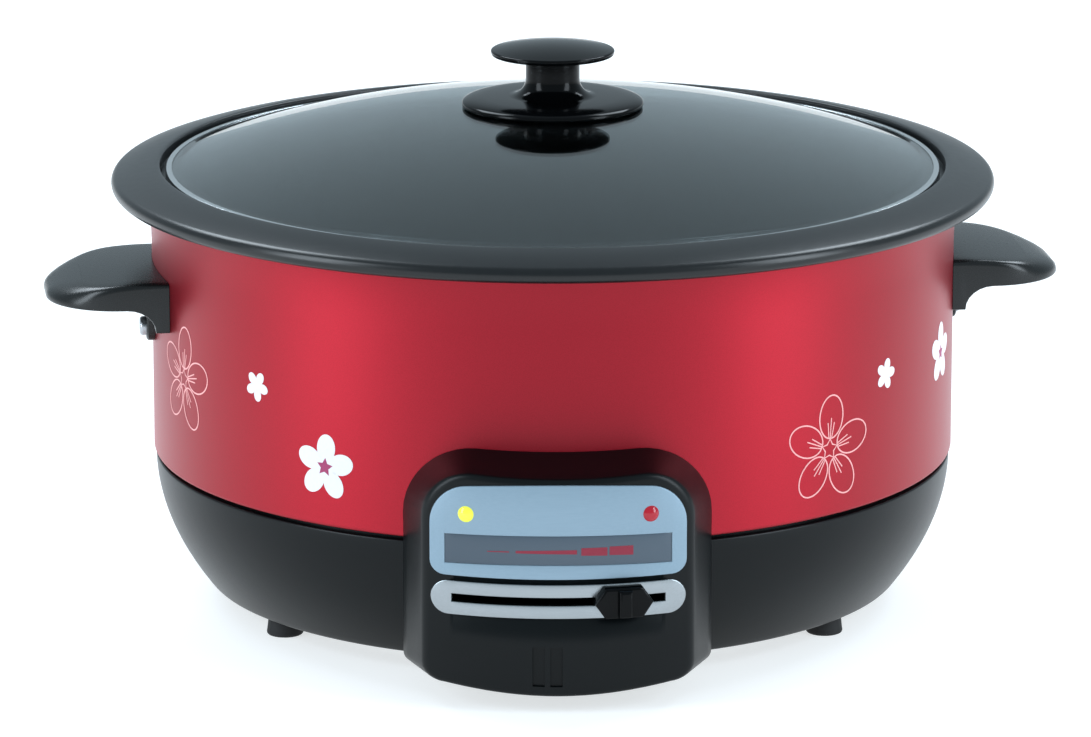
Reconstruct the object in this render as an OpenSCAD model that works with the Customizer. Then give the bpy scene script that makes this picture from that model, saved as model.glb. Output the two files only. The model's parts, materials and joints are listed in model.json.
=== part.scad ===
// Countertop multicooker: round red body on a black bowl base, lift-out pot, glass lid, slide thermostat.
// Millimetres. The origin is on the table under the middle of the cooker, +Z is up, the panel faces -Y.

/* [Base] */
// Height of the rubber feet
foot_h = 8; // [6:0.5:12]
// Radius of a rubber foot
foot_r = 7; // [6:0.5:10]
// Distance of each foot from the middle
foot_ring_r = 124; // [121:0.5:126]
// Angle of each foot from the front or back line
foot_angle = 56; // [50:1:62]
// Height of the bowl-shaped base
base_h = 49; // [44:0.5:54]
// Radius of the base where it stands on its feet
base_bottom_r = 134.5; // [130:0.5:140]
// Wall of the moulded base
base_wall = 2.6; // [2:0.1:3.2]
// Width of the flat ring inside the bottom of the base
base_flange_w = 43.5; // [42:0.5:46]
// Radius of the bottom cover plate
cover_r = 112; // [109:0.5:114]
// Thickness of the bottom cover plate
cover_t = 1; // [0.8:0.1:1.5]
// Distance of the cover screws from the middle
cover_screw_ring_r = 107; // [104:0.5:108]

/* [Shell] */
// Radius of the red shell
shell_r = 154.8; // [152:0.2:158]
// Sheet thickness of the red shell
shell_wall = 0.8; // [0.6:0.1:1.2]
// Height of the red shell
shell_h = 104.5; // [98:0.5:110]
// How far the shell opens out at its top
shell_flare = 2.2; // [0.5:0.1:4]
// Height of the stretch that opens out
flare_h = 24; // [16:1:30]
// Radius of the rolled lower edge of the shell
shell_roll = 1.5; // [1:0.1:2.5]
// Dark groove between shell and base
seam_gap = 1.5; // [1:0.1:2.5]
// How far the base stands back from the shell
base_setback = 0.8; // [0.4:0.1:1.5]
// Depth of the dark groove
seam_depth = 3; // [2:0.5:4]

/* [Pot] */
// Outer radius of the pot's wall
pot_r = 148.7; // [146:0.1:149.5]
// Wall of the pot
pot_wall = 2.2; // [1.8:0.1:2.8]
// Outer radius of the pot's bottom corner
pot_corner_r = 40; // [30:1:44]
// Radius of the pot's wide rim
rim_r = 170; // [166:0.5:175]
// Height of the rim's turned-down edge
rim_skirt = 5; // [4:0.25:6]
// Rounding of the rim's outer edge
rim_round = 3.5; // [2.5:0.25:4]
// Height of the rim's inner lip over its outer edge
rim_rise = 3.9; // [3:0.1:4.5]
// Radius of the recess that holds the lid
lip_r = 151.3; // [150.5:0.1:153]
// Depth of the lid's seat below the lip
lid_recess = 4.8; // [4:0.1:5]

/* [Lid] */
// Free gap between the lid and the lip round it
lid_gap = 2.2; // [1.4:0.1:2.6]
// Thickness of the glass
glass_t = 2.6; // [2.4:0.1:4]
// Height of the glass dome
lid_rise = 23.8; // [15:0.1:28]
// Sheet thickness of the steel band
band_t = 0.5; // [0.4:0.05:0.7]
// How far the band laps over the glass
band_lap = 2.4; // [2:0.1:3]

/* [Lid knob] */
// Radius of the knob's heat guard
skirt_r = 35; // [32:0.5:40]
// Edge height of the heat guard
skirt_edge_h = 2.2; // [2:0.1:3]
// Radius of the knob's neck
neck_r = 10.4; // [9:0.1:13]
// Radius of the neck where it spreads on the heat guard
neck_foot_r = 17; // [15:0.5:20]
// Height of the neck
neck_h = 15.8; // [13:0.2:20]
// Radius of the knob's cap
cap_r = 23.8; // [21:0.1:28]
// Height of the cap at its edge
cap_edge_h = 2.2; // [1.6:0.1:4]
// Height of the cap's dome over its edge
cap_dome_h = 2.7; // [2:0.1:5]
// Thickness of the silicone washer under the knob
knob_washer_t = 1.2; // [0.8:0.1:2]

/* [Handles] */
// How far the handles are turned against the panel
handle_turn = 6.5; // [-10:0.5:10]
// Distance of a handle's tip from the middle
handle_reach = 196.5; // [190:0.5:204]
// Width of a handle
handle_w = 70; // [64:1:80]
// Radius of a handle's outer corners
handle_corner_r = 28; // [22:1:32]
// Height of a handle's underside over the shell's lower edge
handle_under_h = 63.9; // [56:0.5:70]
// Thickness of a handle at the wall
handle_t = 11.6; // [10:0.2:14]
// Radius of the handle's crowned top
handle_crown_r = 600; // [400:10:800]
// Reach of the flare under the handle
flare_reach = 11; // [8:0.5:14]
// Drop of the flare under the handle
flare_drop = 9; // [7:0.5:12]
// Width of the screw tab under the handle
tab_w = 16; // [14:0.5:20]
// Drop of the screw tab under the flare
tab_drop = 10; // [9:0.5:13]
// Thickness of the screw tab
tab_t = 3; // [2:0.1:4]

/* [Panel] */
// Radius of the curved front face, which is also the lever's length to the face
face_r = 111; // [105:0.5:120]
// Distance of the front face from the middle of the cooker
face_front = 177; // [174:0.5:180]
// Half the width of the panel housing at its back
panel_half_w = 57; // [54:0.5:60]
// Half the width of the front face at its edges
face_half_w = 49.5; // [48:0.5:52]
// How far the panel housing reaches below the base
panel_drop = 1.5; // [0:0.5:4]
// Height of the front face's upper edge over the base's lower edge
face_h = 80.5; // [78:0.5:84]
// Rise of the sloping top from the face to the shell
top_rise = 5.2; // [3:0.2:8]
// Corner radius of the arched back outline
arch_r = 28; // [20:1:34]
// Corner radius of the front outline
face_corner_r = 12; // [8:0.5:16]
// Rise of the curved lower edge at the sides of the housing
crown_rise = 4.4; // [3:0.2:6]
// Wall of the panel housing
panel_wall = 2.5; // [2:0.1:3]
// Width of the fascia plate
fascia_w = 94; // [90:0.2:96]
// Height of the fascia plate
fascia_h = 35; // [33:0.2:36]
// Margin between the fascia and the face's upper edge
fascia_margin = 2.1; // [1.5:0.1:3]
// Upper corner radius of the fascia
fascia_top_r = 13; // [8:0.5:15]
// Lower corner radius of the fascia
fascia_low_r = 5; // [3:0.5:7]
// Width of the scale window
window_w = 83; // [76:0.5:84]
// Height of the scale window
window_h = 11; // [9:0.5:12]
// Margin between the window and the fascia's lower edge
window_margin = 5.4; // [3:0.1:6]
// Radius of a lamp lens
lens_r = 3; // [2.5:0.1:3.5]
// Distance of the lamps from the fascia's upper edge
lens_drop = 11.4; // [10:0.1:13]
// Angle of the lamps from the middle of the face
lens_angle = 17.6; // [15:0.1:18.5]
// Length of the slot plate
slot_plate_w = 93.4; // [88:0.2:95]
// Height of the slot plate
slot_plate_h = 12.8; // [11.5:0.1:14]
// Margin between the slot plate and the fascia
slot_margin = 2; // [0.8:0.1:2.6]
// Length of the slot
slot_w = 78.2; // [72:0.2:80]
// Height of the slot
slot_h = 3; // [2.8:0.1:4.4]
// How far the metal plates stand out of the face
plate_proud = 0.7; // [0.4:0.1:1]
// Depth of the pockets that hold the metal plates
plate_pocket = 0.9; // [0.6:0.1:1.1]
// Width of the moulded notch low on the face
notch_w = 11; // [8:0.5:14]
// Height of the notch's upper end over the housing's lowest point
notch_h = 19; // [14:0.5:22]
// Height of the notch's lower end over the housing's lowest point
notch_foot = 4; // [3:0.5:8]
// Distance of the notch from the middle of the face
notch_shift = 4; // [0:0.5:8]
// Depth of the notch
notch_depth = 1.2; // [0.8:0.1:1.5]

/* [Slider] */
// Angle of the lever to the right of the middle, as it stands
lever_angle = 12; // [8:0.5:15]
// Width of the slider knob
slider_w = 22; // [18:0.5:26]
// Height of the slider knob
slider_h = 11.4; // [10.5:0.1:13]
// Depth of the slider knob
slider_d = 4.5; // [4:0.1:6]
// Height of the finger ridge on the slider knob
ridge_d = 2.5; // [2:0.1:4]
// Width of the lever
lever_w = 6; // [5:0.1:7]
// Thickness of the lever
lever_t = 2; // [1.6:0.1:2.4]
// Radius of the lever's hub
hub_r = 7; // [6:0.1:9]
// Radius of the thermostat's spindle
spindle_r = 3; // [2.5:0.1:3.5]

/* [Heater] */
// Height of the heater's legs
leg_h = 51.4; // [49:0.2:54]
// Radius of a leg
leg_r = 5; // [4.5:0.1:6]
// Distance of the legs from the middle
leg_ring_r = 98; // [97:0.5:100]
// Radius of the cast heater plate
heater_r = 106; // [104:0.5:108]
// Thickness of the heater plate
heater_t = 9; // [8:0.2:11]
// Radius of the heating element's loop
element_loop_r = 70; // [60:1:80]
// Radius of the heating element's tube
element_r = 4; // [3.5:0.1:4.5]
// Height of the heat shield over the base's inner floor
shield_h = 39.4; // [38.5:0.1:40.5]
// Radius of the heat shield
shield_r = 128; // [120:1:140]
// Sheet thickness of the heat shield
shield_t = 0.6; // [0.5:0.1:1]
// Radius of the temperature sensor's cap
sensor_r = 19.5; // [16:0.5:22]
// Height of the temperature sensor's cap
sensor_h = 4.6; // [4:0.1:6]
// Radius of the sensor's stem
stem_r = 4; // [3.5:0.1:5]
// Radius of the sensor spring at the middle of its wire
spring_r = 9; // [8:0.1:11]
// Radius of the spring wire
spring_wire_r = 0.6; // [0.5:0.05:0.8]
// Turns of the spring
spring_turns = 4; // [3:1:5]

/* [Power inlet] */
// Width of the inlet's shroud
inlet_w = 34; // [32:0.5:38]
// Height of the inlet's shroud
inlet_h = 28; // [26:0.5:30]
// Height of the inlet's middle over the base's lower edge
inlet_up = 28; // [26:0.5:30]
// Distance of the inlet's outer end from the middle of the cooker
inlet_back = 180; // [177:0.5:183]
// Width of the socket
socket_w = 26; // [24:0.5:28]
// Height of the socket
socket_h = 19; // [17:0.5:21]
// Depth of the socket
socket_d = 21; // [18:0.5:22]
// Distance between the middle lines of the two flat pins
pin_pitch = 14; // [13:0.5:15]
// Width of the inlet's bezel
bezel_w = 56; // [52:1:60]
// Height of the inlet's bezel
bezel_h = 34; // [32:0.5:36]
// How far the bezel stands out of the base
bezel_proud = 5; // [4:0.5:7]

/* [Fits] */
// Gap between pieces that lie loose against each other
loose_fit = 0.3; // [0.2:0.05:0.4]
// Gap round pieces that are set into pockets
pocket_fit = 0.15; // [0.1:0.05:0.2]
// Gap round screws and studs
screw_fit = 0.1; // [0.05:0.05:0.2]
// Running gap round the spindle and the sensor's stem
running_fit = 0.06; // [0.03:0.01:0.1]

/* [Screws] */
// Radius of the small screws
screw_r = 1.5; // [1.2:0.1:1.7]
// Head radius of the small screws
screw_head_r = 3; // [2.6:0.1:3.4]
// Head height of the small screws
screw_head_h = 2; // [1.6:0.1:2.4]
// Radius of the handle and lid screws
big_screw_r = 2; // [1.8:0.1:2.4]
// Head radius of the handle and lid screws
big_head_r = 3.7; // [3.4:0.1:4.2]

/* [Hidden] */
$fn = 64;

// Extra length that carries a cut through a surface, and the reach of cuts across a wall
cut = 1;
drill = 30;
// Gap between flat pieces and the sheet that they clamp
flat_gap = 0.1;
// Free room round the head of a screw
head_clear = 1;
screw_hole_r = screw_r + screw_fit;
big_hole_r = big_screw_r + screw_fit;
head_well_r = screw_head_r + head_clear;

// Heights that follow from the driving sizes
base_z = foot_h;
floor_z = base_z + base_wall;
base_top = base_z + base_h;
shell_z = base_top + seam_gap;
shell_top = shell_z + shell_h;
heater_low = floor_z + leg_h;
heater_top = heater_low + heater_t;
shield_z = floor_z + shield_h;

// Radii of the body
base_top_r = shell_r - base_setback;
base_flange_r = base_bottom_r - base_flange_w;
seam_r = base_top_r - seam_depth;
ledge_w = 4;
ledge_r = seam_r - ledge_w;
ledge_h = 4;
hem_w = 3;
hem_r = shell_r - hem_w;

// Pot, rim and lid seat
rim_gap = 0.5;
pot_gap = 0.1;
pot_bottom = heater_top + pot_gap;
pot_in_r = pot_r - pot_wall;
rim_under = shell_top + rim_gap;
rim_edge = rim_under + pot_wall;
rim_low = rim_edge - rim_skirt;
lip_z = rim_edge + rim_rise;
lip_flat = 1.5;
lip_bevel = 0.8;
rim_edge_angle = 76;
rim_fillet = 2;
rim_low_bevel = 1.5;
seat_z = lip_z - lid_recess;

// Lid and knob
lid_r = lip_r - lid_gap;
lid_z = seat_z + loose_fit;
band_h = glass_t + 2 * band_t;
band_in_r = lid_r - band_lap;
glass_r = lid_r - band_t - pocket_fit;
glass_z = lid_z + band_t;
glass_rim_top = glass_z + glass_t;
dome_step = 0.4;
dome_r = band_in_r - dome_step;
glass_apex = glass_rim_top + lid_rise;
dome_R = (dome_r * dome_r + lid_rise * lid_rise) / (2 * lid_rise);
knob_washer_r = 12;
knob_z = glass_apex + knob_washer_t;
skirt_lip = 2.1;
skirt_low = knob_z - skirt_lip;
skirt_top = skirt_low + skirt_edge_h;
guard_rise = 1.7;
neck_z = skirt_top + guard_rise;
cap_z = neck_z + neck_h;
cap_edge_top = cap_z + cap_edge_h;
lid_washer_r = 9;
lid_washer_t = 1;
lid_washer_z = glass_apex - glass_t - lid_washer_t - flat_gap;
glass_hole_r = big_screw_r + 1;
knob_head_h = 2.6;
knob_head_r = 4.7;
knob_bore_depth = 10;
knob_bore_spare = 1;

// Handles
handle_z = shell_z + handle_under_h;
handle_top = handle_z + handle_t;
handle_wall_r = shell_r + pocket_fit;
handle_in = 3;
tip_edge = 0.8;
flare_foot = 1.2;
flare_low = handle_z - flare_drop;
tab_low = flare_low - tab_drop;
tab_screw_z = flare_low - tab_drop / 2;
tab_face_r = shell_r + tab_t;
peg_r = 2.5;
peg_up = 5.5;
peg_z = handle_z + peg_up;
peg_y = 20;
peg_len = 4;
peg_hold = 14;
peg_in_r = shell_r - shell_wall - peg_len;
nut_r = 4.2;
nut_t = 2.6;
nut_out_r = shell_r - shell_wall - flat_gap;

// Panel: the front face is part of a cylinder about the lever's pivot
panel_low = base_z - panel_drop;
face_top = base_z + face_h;
fascia_z = face_top - fascia_margin - fascia_h / 2;
window_z = fascia_z - fascia_h / 2 + window_margin + window_h / 2;
lens_z = fascia_z + fascia_h / 2 - lens_drop;
slot_z = fascia_z - fascia_h / 2 - slot_margin - slot_plate_h / 2;
notch_low = panel_low + notch_foot;
notch_top = panel_low + notch_h;
pivot_y = face_r - face_front;
face_edge_y = pivot_y - sqrt(face_r * face_r - face_half_w * face_half_w);
panel_side_y = -sqrt(shell_r * shell_r - panel_half_w * panel_half_w);
bevel = (panel_half_w - face_half_w) / (panel_side_y - face_edge_y);
face_spare = 5;
front_y = -face_front - face_spare;
front_half_w = panel_half_w - bevel * (panel_side_y - front_y);
back_y = -100;
top_slope = top_rise / (face_front - shell_r);
side_top = face_top + top_slope * (face_front + panel_side_y);
front_top = face_top + top_slope * (front_y + face_front);
crown_R = panel_half_w * panel_half_w / (2 * crown_rise);
lens_tube_wall = 1.6;
lens_tube_r = lens_r + lens_tube_wall;
// Room for a lamp, from the face to the shell along the lamp's own line
lamp_room = face_r - pivot_y * cos(lens_angle) - sqrt(pow(shell_r, 2) - pow(pivot_y * sin(lens_angle), 2));
lens_share = 0.4;
bulb_share = 0.35;
lens_len = lens_share * lamp_room;
lens_dome_h = 1.25;
lens_dome_R = (lens_r * lens_r + lens_dome_h * lens_dome_h) / (2 * lens_dome_h);
bulb_r = lens_r - loose_fit;
bulb_len = bulb_share * lamp_room;
bulb_round = min(1.5, bulb_len / 2);
lamp_in_r = face_r - lens_len - bulb_len;
window_depth = 0.3;
glue_gap = 0.05;
face_cut = 9;
plate_in_r = face_r - plate_pocket + glue_gap;
plate_out_r = face_r + plate_proud;

// Lever and thermostat
slider_in_r = face_r + plate_proud + loose_fit;
slider_seat = 3;
lever_len = slider_in_r + slider_seat;
thermostat_w = 36;
thermostat_d = 30;
thermostat_h = 14;
lever_over_body = 6.4;
thermostat_top = slot_z - lever_over_body;
bracket_t = 1.5;
bracket_w = 32;
bracket_top = thermostat_top - thermostat_h;
bracket_foot_y = -104;
bracket_foot_d = 12;
bracket_screw_x = 9;
bracket_screw_y = bracket_foot_y + bracket_foot_d / 2;
bracket_margin = 4;
bracket_back_y = pivot_y + thermostat_d / 2 + bracket_margin;
bracket_screw_out = 2;
hub_z = thermostat_top + loose_fit;
hub_over_lever = 1.5;
hub_h = slot_z + lever_t / 2 + hub_over_lever - hub_z;
spindle_depth = 10;
spindle_out = 1;
spindle_z = thermostat_top - spindle_depth + loose_fit;

// Sensor
sensor_top = heater_top - loose_fit;
sensor_low = sensor_top - sensor_h;
sensor_round = 1.2;
guide_flange_t = 2;
guide_flange_r = 16;
guide_r = 8;
guide_len = 10;
guide_top = shield_z + shield_t + guide_flange_t;
guide_low = shield_z - guide_len;
clip_t = 0.8;
clip_r = 6.5;
clip_z = guide_low - loose_fit - clip_t;
clip_gap = 0.05;
stem_end = 3;
stem_low = clip_z - stem_end;
groove_d = 0.8;
groove_r = stem_r - groove_d;
spring_low = guide_top + loose_fit + spring_wire_r;
spring_high = sensor_low - loose_fit - spring_wire_r;
spring_end_turn = 1;
spring_steps = 16;
spring_sides = 6;
spring_all = spring_turns + 2 * spring_end_turn;
spring_flat = 2.8 * spring_wire_r;

// Inlet
inlet_z = base_z + inlet_up;
bezel_back = base_top_r + bezel_proud;
inlet_in_y = 126;
pin_w = 2;
pin_h = 4;
pin_setback = 5;
pin_tail = 8;
pin_out_y = inlet_back - pin_setback;
pin_in_y = inlet_in_y - pin_tail;
earth_drop = 4;
inlet_screw_x = (inlet_w + bezel_w) / 4;
inlet_screw_len = 16;

// Fasteners and bosses
boss_r = 4;
boss_h = 8;
foot_well_h = 4;
foot_round = 1;
foot_taper = 0.8;
pad_r = 5;

// Screws that hold the panel housing, two in the base and two in the shell
lower_screw_angle = 19;
lower_screw_drop = 6;
lower_screw_z = base_top - lower_screw_drop;
upper_screw_angle = 11;
upper_screw_up = 21.5;
upper_screw_z = shell_z + upper_screw_up;
lower_seat_in = 4;
lower_seat_r = ledge_r - lower_seat_in;
upper_seat_r = shell_r - shell_wall - flat_gap;
grip_share = 0.3;
panel_grip = grip_share * (face_front - shell_r);
lower_screw_len = base_top_r - lower_seat_r + panel_grip;
upper_screw_len = shell_r - upper_seat_r + panel_grip;

// Opening in the base for the lever
lever_window_w = 80;
lever_window_h = 12;

// Handle screws
handle_head_h = 2.4;
thread_end = 0.6;
handle_screw_in_r = nut_out_r - nut_t - thread_end;

// Heater plate, element and legs
stud_r = 2.5;
stud_h = 5;
stud_spare = 0.5;
element_end_a = 10;
bead_r = 5;
bead_h = 14;
bead_gap = 0.3;
terminal_r = 1.6;
terminal_len = 4.3;
leg_neck = 1.5;
leg_bore = 12;
leg_screw_in = 9;
shield_rim_h = 6;

// Thermal fuse
fuse_r = 3.2;
fuse_len = 24;
fuse_y = 46;
fuse_z = shield_z - fuse_r - loose_fit;

// Wires, as points chosen by hand between the pieces that they join
wire_r = 1.3;
wire_sides = 8;
wire_steps = 3;
wire_gap = 0.3;
wire_lead = 4;
pin_end = pin_in_y - wire_gap;
side_end = thermostat_w / 2 + wire_gap;
side_terminal_up = 6.5;
side_z = bracket_top + side_terminal_up;
fuse_end = fuse_len / 2 + wire_gap;
terminal_x = element_loop_r * sin(element_end_a);
terminal_y = element_loop_r * cos(element_end_a);
wire_back = 10;
wire_y = pivot_y + wire_back;
terminal_end = heater_low - bead_h - terminal_len - wire_gap;
function lead(end, way) = [for (k = [0:2]) end + way * wire_lead * k / 2];
live_wire = concat(lead([-pin_pitch / 2, pin_end, inlet_z], [0, -1, 0]),
    [[-9, 108, 35], [-26, 96, 24], [-44, 60, 18], [-46, 10, 18], [-40, -30, 22], [-30, -50, 27]],
    reversed(lead([-side_end, wire_y, side_z], [-1, 0, 0])));
neutral_wire = concat(lead([pin_pitch / 2, pin_end, inlet_z], [0, -1, 0]),
    [[10, 108, 35], [16, 98, 30], [22, 82, 38], [23, 66, 43], [21, 52, 45]],
    reversed(lead([fuse_end, fuse_y, fuse_z], [1, 0, 0])));
fuse_wire = concat(lead([-fuse_end, fuse_y, fuse_z], [-1, 0, 0]),
    [[-20, 50, 44], [-20, 58, 40], [-15, 66, 36]],
    reversed(lead([-terminal_x, terminal_y, terminal_end], [0, 0, -1])));
heat_wire = concat(lead([side_end, wire_y, side_z], [1, 0, 0]),
    [[30, -44, 25], [38, -20, 20], [42, 20, 18], [36, 52, 20], [20, 66, 30]],
    reversed(lead([terminal_x, terminal_y, terminal_end], [0, 0, -1])));

// Helper shapes
function arc(cx, cy, r, a0, a1, n) = [for (i = [0:n]) let (a = a0 + (a1 - a0) * i / n)
    [cx + r * cos(a), cy + r * sin(a)]];
function reversed(list) = [for (i = [len(list) - 1:-1:0]) list[i]];
function bowl_r(z) = base_top_r - (base_top_r - base_bottom_r) * pow(1 - (z - base_z) / base_h, 2);
function unit(v) = v / norm(v);
function at_end(list, i) = list[max(0, min(len(list) - 1, i))];
function spline_point(p, i, t) =
    let (a = at_end(p, i - 1), b = at_end(p, i), c = at_end(p, i + 1), d = at_end(p, i + 2))
    0.5 * (2 * b + (c - a) * t + (2 * a - 5 * b + 4 * c - d) * t * t + (3 * b - a - 3 * c + d) * t * t * t);
function spline(p, steps) = concat(
    [for (i = [0:len(p) - 2], k = [0:steps - 1]) spline_point(p, i, k / steps)], [p[len(p) - 1]]);
function ring(path, i, r, sides) = let (along = unit(at_end(path, i + 1) - at_end(path, i - 1)),
    across = unit(cross(along, [0.31, 0.17, 0.93])), up = cross(across, along))
    [for (k = [0:sides - 1]) path[i] + r * (across * cos(360 * k / sides) + up * sin(360 * k / sides))];

// A tube of one radius along a list of points
module tube(path, r, sides) {
    n = len(path);
    points = [for (i = [0:n - 1]) each ring(path, i, r, sides)];
    walls = [for (i = [0:n - 2], k = [0:sides - 1], half = [0, 1]) let (m = (k + 1) % sides, a = i * sides)
        half == 0 ? [a + k, a + m, a + sides + m] : [a + k, a + sides + m, a + sides + k]];
    first = [for (k = [1:sides - 2]) [0, k + 1, k]];
    last = [for (k = [1:sides - 2]) [(n - 1) * sides, (n - 1) * sides + k, (n - 1) * sides + k + 1]];
    polyhedron(points, concat(walls, first, last));
}

// Copies round the middle, at each foot
module at_feet() {
    for (side = [90 - foot_angle, 90 + foot_angle, 270 - foot_angle, 270 + foot_angle])
        rotate(side) translate([foot_ring_r, 0, 0]) children();
}

// Copies round the middle, at each heater leg
module at_legs() {
    for (a = [90, 210, 330]) rotate(a) translate([leg_ring_r, 0, 0]) children();
}

// Copies round the middle, at each cover screw
module at_cover_screws() {
    for (a = [45, 135, 225, 315]) rotate(a) translate([cover_screw_ring_r, 0, 0]) children();
}

// Copies at the two screws of the thermostat bracket
module at_bracket_screws() {
    for (x = [-bracket_screw_x, bracket_screw_x]) translate([x, bracket_screw_y, 0]) children();
}

// A screw along +Z with the underside of its head at z = 0
module screw(r, head_r, head_h, length) {
    rotate_extrude() polygon(concat([[0, -head_h]],
        arc(head_r - head_h / 2, -head_h / 2, head_h / 2, -90, 0, 6),
        [[head_r, 0], [r, 0], [r, length - r / 2], [r / 2, length], [0, length]]));
}

// A small screw, and the hole that it passes through
module small_screw(length) {
    color([0.75, 0.75, 0.77]) screw(screw_r, screw_head_r, screw_head_h, length);
}

module screw_hole(z, length) {
    translate([0, 0, z - cut]) cylinder(r = screw_hole_r, h = length + 2 * cut);
}

// The body's outer surface as one solid, with a gap round it
module body_solid(gap) {
    rotate_extrude() polygon(concat([[0, 0], [base_bottom_r + gap, 0]],
        [for (i = [0:12]) let (z = base_z + base_h * i / 12) [bowl_r(z) + gap, z]],
        [[shell_r + gap, shell_z], [shell_r + gap, shell_top], [0, shell_top]]));
}

// Turns +Z outwards along X, starting inside the shell's wall
module across_wall(y, z) {
    translate([shell_r - drill / 2, y, z]) rotate([0, 90, 0]) children();
}

// A red sheet shell, rolled at the bottom, opened out and hemmed at the top
module outer_shell() {
    flare_z = shell_top - flare_h;
    outer = [for (i = [0:8]) [shell_r + shell_flare * pow(i / 8, 2), flare_z + flare_h * i / 8]];
    inner = [for (i = [0:8]) let (top = flare_h - shell_wall)
        [shell_r - shell_wall + shell_flare * pow(i / 8, 2), flare_z + top * i / 8]];
    color([0.62, 0.12, 0.12]) difference() {
        rotate_extrude() polygon(concat([[ledge_r, shell_z]],
            arc(shell_r - shell_roll, shell_z + shell_roll, shell_roll, -90, 0, 6), outer,
            [[hem_r, shell_top], [hem_r, shell_top - shell_wall]], reversed(inner),
            [[shell_r - shell_wall, shell_z + shell_wall], [ledge_r, shell_z + shell_wall]]));
        for (side = [0, 180]) rotate(handle_turn + side) {
            for (y = [-peg_y, peg_y]) across_wall(y, peg_z) cylinder(r = peg_r + screw_fit, h = drill);
            across_wall(0, tab_screw_z) cylinder(r = big_hole_r, h = drill);
        }
        upper_panel_screw_holes();
    }
}

// The moulded bowl under the shell, open to the front for the lever and to the back for the inlet
module base_shell() {
    outer = [for (i = [0:12]) let (z = base_z + base_h * i / 12) [bowl_r(z), z]];
    inner_h = base_h - base_wall - 2 * ledge_h;
    inner = [for (i = [0:10]) let (z = floor_z + inner_h * i / 10) [bowl_r(z) - base_wall, z]];
    color([0.13, 0.14, 0.15]) difference() {
        union() {
            rotate_extrude() polygon(concat(outer,
                [[seam_r, base_top], [seam_r, shell_z], [ledge_r, shell_z], [ledge_r, base_top - ledge_h]],
                reversed(inner), [[base_flange_r, floor_z], [base_flange_r, base_z]]));
            at_cover_screws() translate([0, 0, base_z]) cylinder(r = boss_r, h = base_wall + boss_h);
            at_feet() translate([0, 0, base_z]) cylinder(r = boss_r, h = base_wall + boss_h);
            lower_screw_pads();
        }
        at_cover_screws() screw_hole(base_z, boss_h + base_wall);
        at_feet() screw_hole(base_z, boss_h + base_wall);
        at_legs() screw_hole(base_z, base_wall);
        at_bracket_screws() screw_hole(base_z, base_wall);
        lever_window();
        lower_panel_screw_holes();
        translate([0, bezel_back - drill, inlet_z]) rotate([-90, 0, 0])
            linear_extrude(2 * drill)
                square([inlet_w + 2 * loose_fit, inlet_h + 2 * loose_fit], center = true);
        at_inlet_screws() screw_hole(-drill, 2 * drill);
    }
}

// Copies at the two screws of the inlet, with +Z pointing backwards from the bezel's face
module at_inlet_screws() {
    for (x = [-inlet_screw_x, inlet_screw_x])
        translate([x, bezel_back, inlet_z]) rotate([-90, 0, 0]) children();
}

// The opening in the base that the lever passes through
module lever_window() {
    translate([-lever_window_w / 2, -base_top_r - cut, slot_z - lever_window_h / 2])
        cube([lever_window_w, 2 * drill, lever_window_h]);
}

// Copies at the panel screws, with +Z pointing outwards from the middle line of the cooker
module at_lower_panel_screws() {
    for (a = [-lower_screw_angle, lower_screw_angle])
        rotate(a - 90) translate([0, 0, lower_screw_z]) rotate([0, 90, 0]) children();
}

module at_upper_panel_screws() {
    for (a = [-upper_screw_angle, upper_screw_angle])
        rotate(a - 90) translate([0, 0, upper_screw_z]) rotate([0, 90, 0]) children();
}

module lower_panel_screw_holes() {
    at_lower_panel_screws() screw_hole(lower_seat_r, lower_screw_len);
}

module upper_panel_screw_holes() {
    at_upper_panel_screws() screw_hole(upper_seat_r, upper_screw_len);
}

// Pads inside the base that carry the heads of the lower screws
module lower_screw_pads() {
    at_lower_panel_screws() translate([0, 0, lower_seat_r])
        cylinder(r = pad_r, h = base_top_r - base_wall - lower_seat_r);
}

module bottom_cover() {
    color([0.7, 0.71, 0.72]) translate([0, 0, base_z - cover_t]) difference() {
        cylinder(r = cover_r, h = cover_t, $fn = 128);
        at_cover_screws() screw_hole(0, cover_t);
        at_legs() translate([0, 0, -cut]) cylinder(r = head_well_r, h = cover_t + 2 * cut);
        at_bracket_screws() translate([0, 0, -cut]) cylinder(r = head_well_r, h = cover_t + 2 * cut);
    }
}

module cover_screws() {
    at_cover_screws() translate([0, 0, base_z - cover_t]) small_screw(boss_h);
}

// Rubber feet with a well for the screw's head
module rubber_feet() {
    color([0.1, 0.1, 0.1]) at_feet() rotate_extrude() polygon(concat(
        [[head_well_r, 0]], arc(foot_r - foot_round, foot_round, foot_round, -90, 0, 6),
        [[foot_r - foot_taper, foot_h], [screw_hole_r, foot_h], [screw_hole_r, foot_well_h],
        [head_well_r, foot_well_h]]));
}

module foot_screws() {
    at_feet() translate([0, 0, foot_well_h]) small_screw(foot_h - foot_well_h + boss_h);
}

// Arched outline of the panel housing, seen from the front
module arch_outline(half_w, low, high, corner) {
    polygon(concat([[-half_w, low], [half_w, low]], arc(half_w - corner, high - corner, corner, 0, 90, 8),
        arc(corner - half_w, high - corner, corner, 90, 180, 8)));
}

// A block between two outlines, set along Y
module panel_block(inset) {
    slab = 0.2;
    hull() {
        translate([0, back_y, 0]) rotate([90, 0, 0]) linear_extrude(back_y - panel_side_y)
            arch_outline(panel_half_w - inset, inset, side_top - inset, arch_r);
        translate([0, front_y, 0]) rotate([90, 0, 0]) linear_extrude(slab)
            arch_outline(front_half_w - inset, inset, front_top - inset, face_corner_r);
    }
}

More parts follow.
